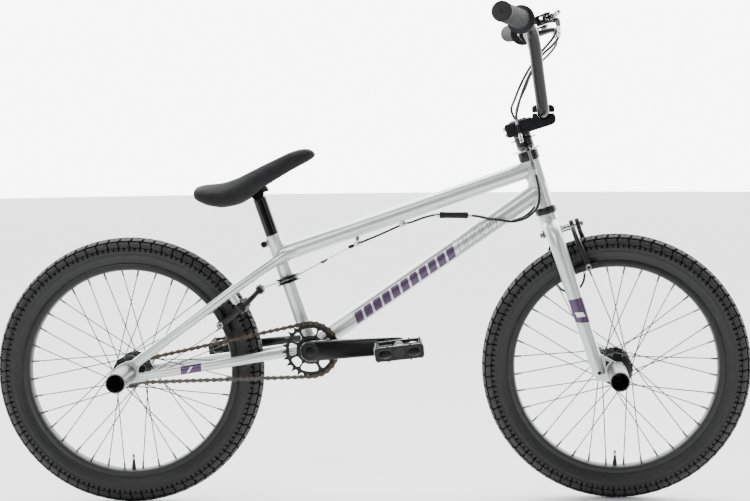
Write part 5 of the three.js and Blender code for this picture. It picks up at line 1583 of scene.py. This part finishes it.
# ---------------------------------------------------------------- cables
UPPER_NEAR = [(118.7, -149.2, 626.6), (115, -143, 619), (102, -126, 610), (80, -102, 600), (50, -76, 577),
              (28, -55, 552), (10, -39, 526), (-1.4, -31, 504), (-2, -30.4, 493.7)]
UPPER_FAR = [(121, -146.6, 640), (106, -122, 622), (78, -92, 605), (48, -64, 583), (25, -40, 561),
             (8, -12, 541), (-5, 14, 524), (-4.5, 28.5, 508), (-2.1, 30.5, 500), (-2, 30.4, 493.7)]
FRONT_CABLE = [(118.7, 149.2, 626.6), (115, 143, 619), (98, 122, 606), (72, 92, 592), (50, 69, 577),
               (33, 47, 556),
               (12, 19, 532), (1, 6.5, 512), (0, 6, 480), (0, 6, 380), (0, 6, 290), (0, 6, 271),
               (-3, 14, 261.5),
               (-12, 27, 254), (-21, 37, 236), (-26, 46, 205), (-20, 60, 166), (2, 69, 148), (22, 62, 160),
               (32, 52, 176), (35, 50, 190)]
LOWER_HOUSING = [(765, -26, 626.8), (771.5, -26, 603), (774.5, -25.5, 580), (771, -25, 558),
                 (752, -24.5, 538.5),
                 (725, -23.5, 530.5), (700, -23, 533.5), (683, -20, 536), (664, -12, 539.5),
                 (650, -4.5, 541.6),
                 (643, -3, 541.9)]
TOP_HOUSING = [(583, 0, 544.2), (560, 0, 539), (536, 0, 530.5), (518, 0, 525.5), (475, 0, 507),
               (424, 0, 486.5)]
YOKE = np.array([371.0, 0, 459])


def ferrule(at, towards, place=None, radius=3.0, length=9):
    d = unit(np.asarray(towards, float) - np.asarray(at, float))
    s = lathe([(0.1, -0.5), (radius - 0.5, -0.5), (radius, 0), (radius, length * 0.6),
               (radius - 0.3, length * 0.62),
               (radius - 0.3, length * 0.7), (radius, length * 0.72), (radius, length - 0.5),
               (radius - 0.4, length), (0.1, length)], at, d, 24)
    return put(s, place) if place else s


def build_cables():
    for name, points, count in (("upper_cable_right", UPPER_NEAR, 90), ("upper_cable_left", UPPER_FAR, 110),
                                ("front_brake_cable", FRONT_CABLE, 240)):
        piece = Piece()
        path = curve(points, count)
        piece.add(put(tube(path, 2.4, 20), steer_place), "housing_black")
        piece.add(ferrule(path[0], path[3], steer_place), "bright_steel")
        piece.add(ferrule(path[-1], path[-4], steer_place), "bright_steel")
        piece.build(f"{name}_fine", "steering", [name])
    for name, turn in (("lower_cable_right", same), ("lower_cable_left", flip)):
        piece = Piece()
        path = curve(LOWER_HOUSING, 110)
        piece.add(turn(tube(path, 2.4, 20)), "housing_black")
        piece.add(turn(ferrule(path[0], path[3])), "bright_steel")
        piece.add(turn(ferrule(path[-1], path[-4], None, 2.9, 7)), "bright_steel")
        piece.build(f"{name}_fine", "frame", [name])

    ring = Piece()
    middle = on_seat(136.9)
    ring.add(lathe([(14.5, -6.5), (22.6, -6.5), (23.4, -5.8), (23.4, -4.2), (22.8, -3.6), (19.6, -3.2),
                    (19.4, -2.4),
                    (19.4, 2.4), (19.6, 3.2), (22.8, 3.6), (23.4, 4.2), (23.4, 5.8), (22.6, 6.5),
                    (14.5, 6.5)],
                   middle, SEAT, 72), "gloss_black")
    ring.build("cable_guide_ring_fine", "frame", ["cable_guide_ring"])

    rear = Piece()
    sleeve = [(0.1, 0), (5.4, 0), (6.2, 0.9), (6.2, 9), (5.9, 9.6), (5.9, 44), (6.2, 44.6), (6.2, 53),
              (5.4, 54),
              (0.1, 54)]
    rear.add(lathe(sleeve, (642.1, 0, 542.1), (-54.1, 0, 0.9), 40), "matte_black")
    rear.add(ferrule((588.4, 0, 543), (580, 0, 543.8), None, 3.4, 9), "bright_steel")
    path = curve(TOP_HOUSING, 110)
    rear.add(tube(path, 2.1, 20), "housing_black")
    rear.add(ferrule((526, 0, 528.2), (517, 0, 525.2), None, 3.1, 8), "bright_steel")
    rear.add(ferrule((441, 0, 493.4), (432, 0, 489.9), None, 3.2, 7), "satin_steel")
    rear.add(ferrule((424.5, 0, 486.6), (410, 0, 481), None, 2.9, 10), "matte_black")
    knurl = []
    for k in range(6):
        knurl += [(3.7, k * 1.2), (3.3, k * 1.2 + 0.6)]
    rear.add(lathe([(0.1, 0)] + knurl + [(0.1, 7.4)], (424.5, 0, 486.7), (-14, 0, -5.6), 28), "gloss_black")
    rear.add(bar((426, 0, 487.3), YOKE + [6, 0, 3], 0.8, sides=12), "wire_steel")
    wedge = [(-9, -1.8), (-6, -4.6), (5.4, -2.0), (6.4, 0.4), (4.6, 2.6), (-6.4, 3.4), (-9, 1.2)]
    lean = math.atan2(28, 55)
    turned_wedge = [(x * math.cos(lean) - z * math.sin(lean), x * math.sin(lean) + z * math.cos(lean))
                    for x, z in wedge]
    rear.add(plate(turned_wedge, 6.4, upright(0, (YOKE[0], YOKE[2])), bevel=0.8), "bright_steel")
    rear.add(bar(YOKE + [-9, 0, -4.6], YOKE + [-4.6, 0, -2.2], 3.0, 3.0, 18), "gloss_black")
    ahead = np.array([SEAT[2], 0, -SEAT[0]])
    around = [middle + 20.6 * math.cos(t) * ahead + np.array([0, -20.6 * math.sin(t), 0])
              for t in np.radians(np.linspace(62, 118, 12))]
    branch = np.array([YOKE + [-6, -1.5, -3]] + around + [np.array([256, -17.6, 409.2])])
    for turn in (same, flip):
        rear.add(turn(tube(branch, 0.75, 12)), "wire_steel")
        tail = curve([(257, -17.4, 409.6), (251, -16, 404), (246, -12, 398), (243, -6, 395)], 20)
        rear.add(turn(tube(tail, 0.75, 10)), "wire_steel")
    rear.build("rear_brake_cable_fine", "frame", ["rear_brake_cable"])


build_fork()
build_stem()
build_bars()
build_levers()
build_detangler()
build_front_brake()
build_rear_brake()
build_cables()
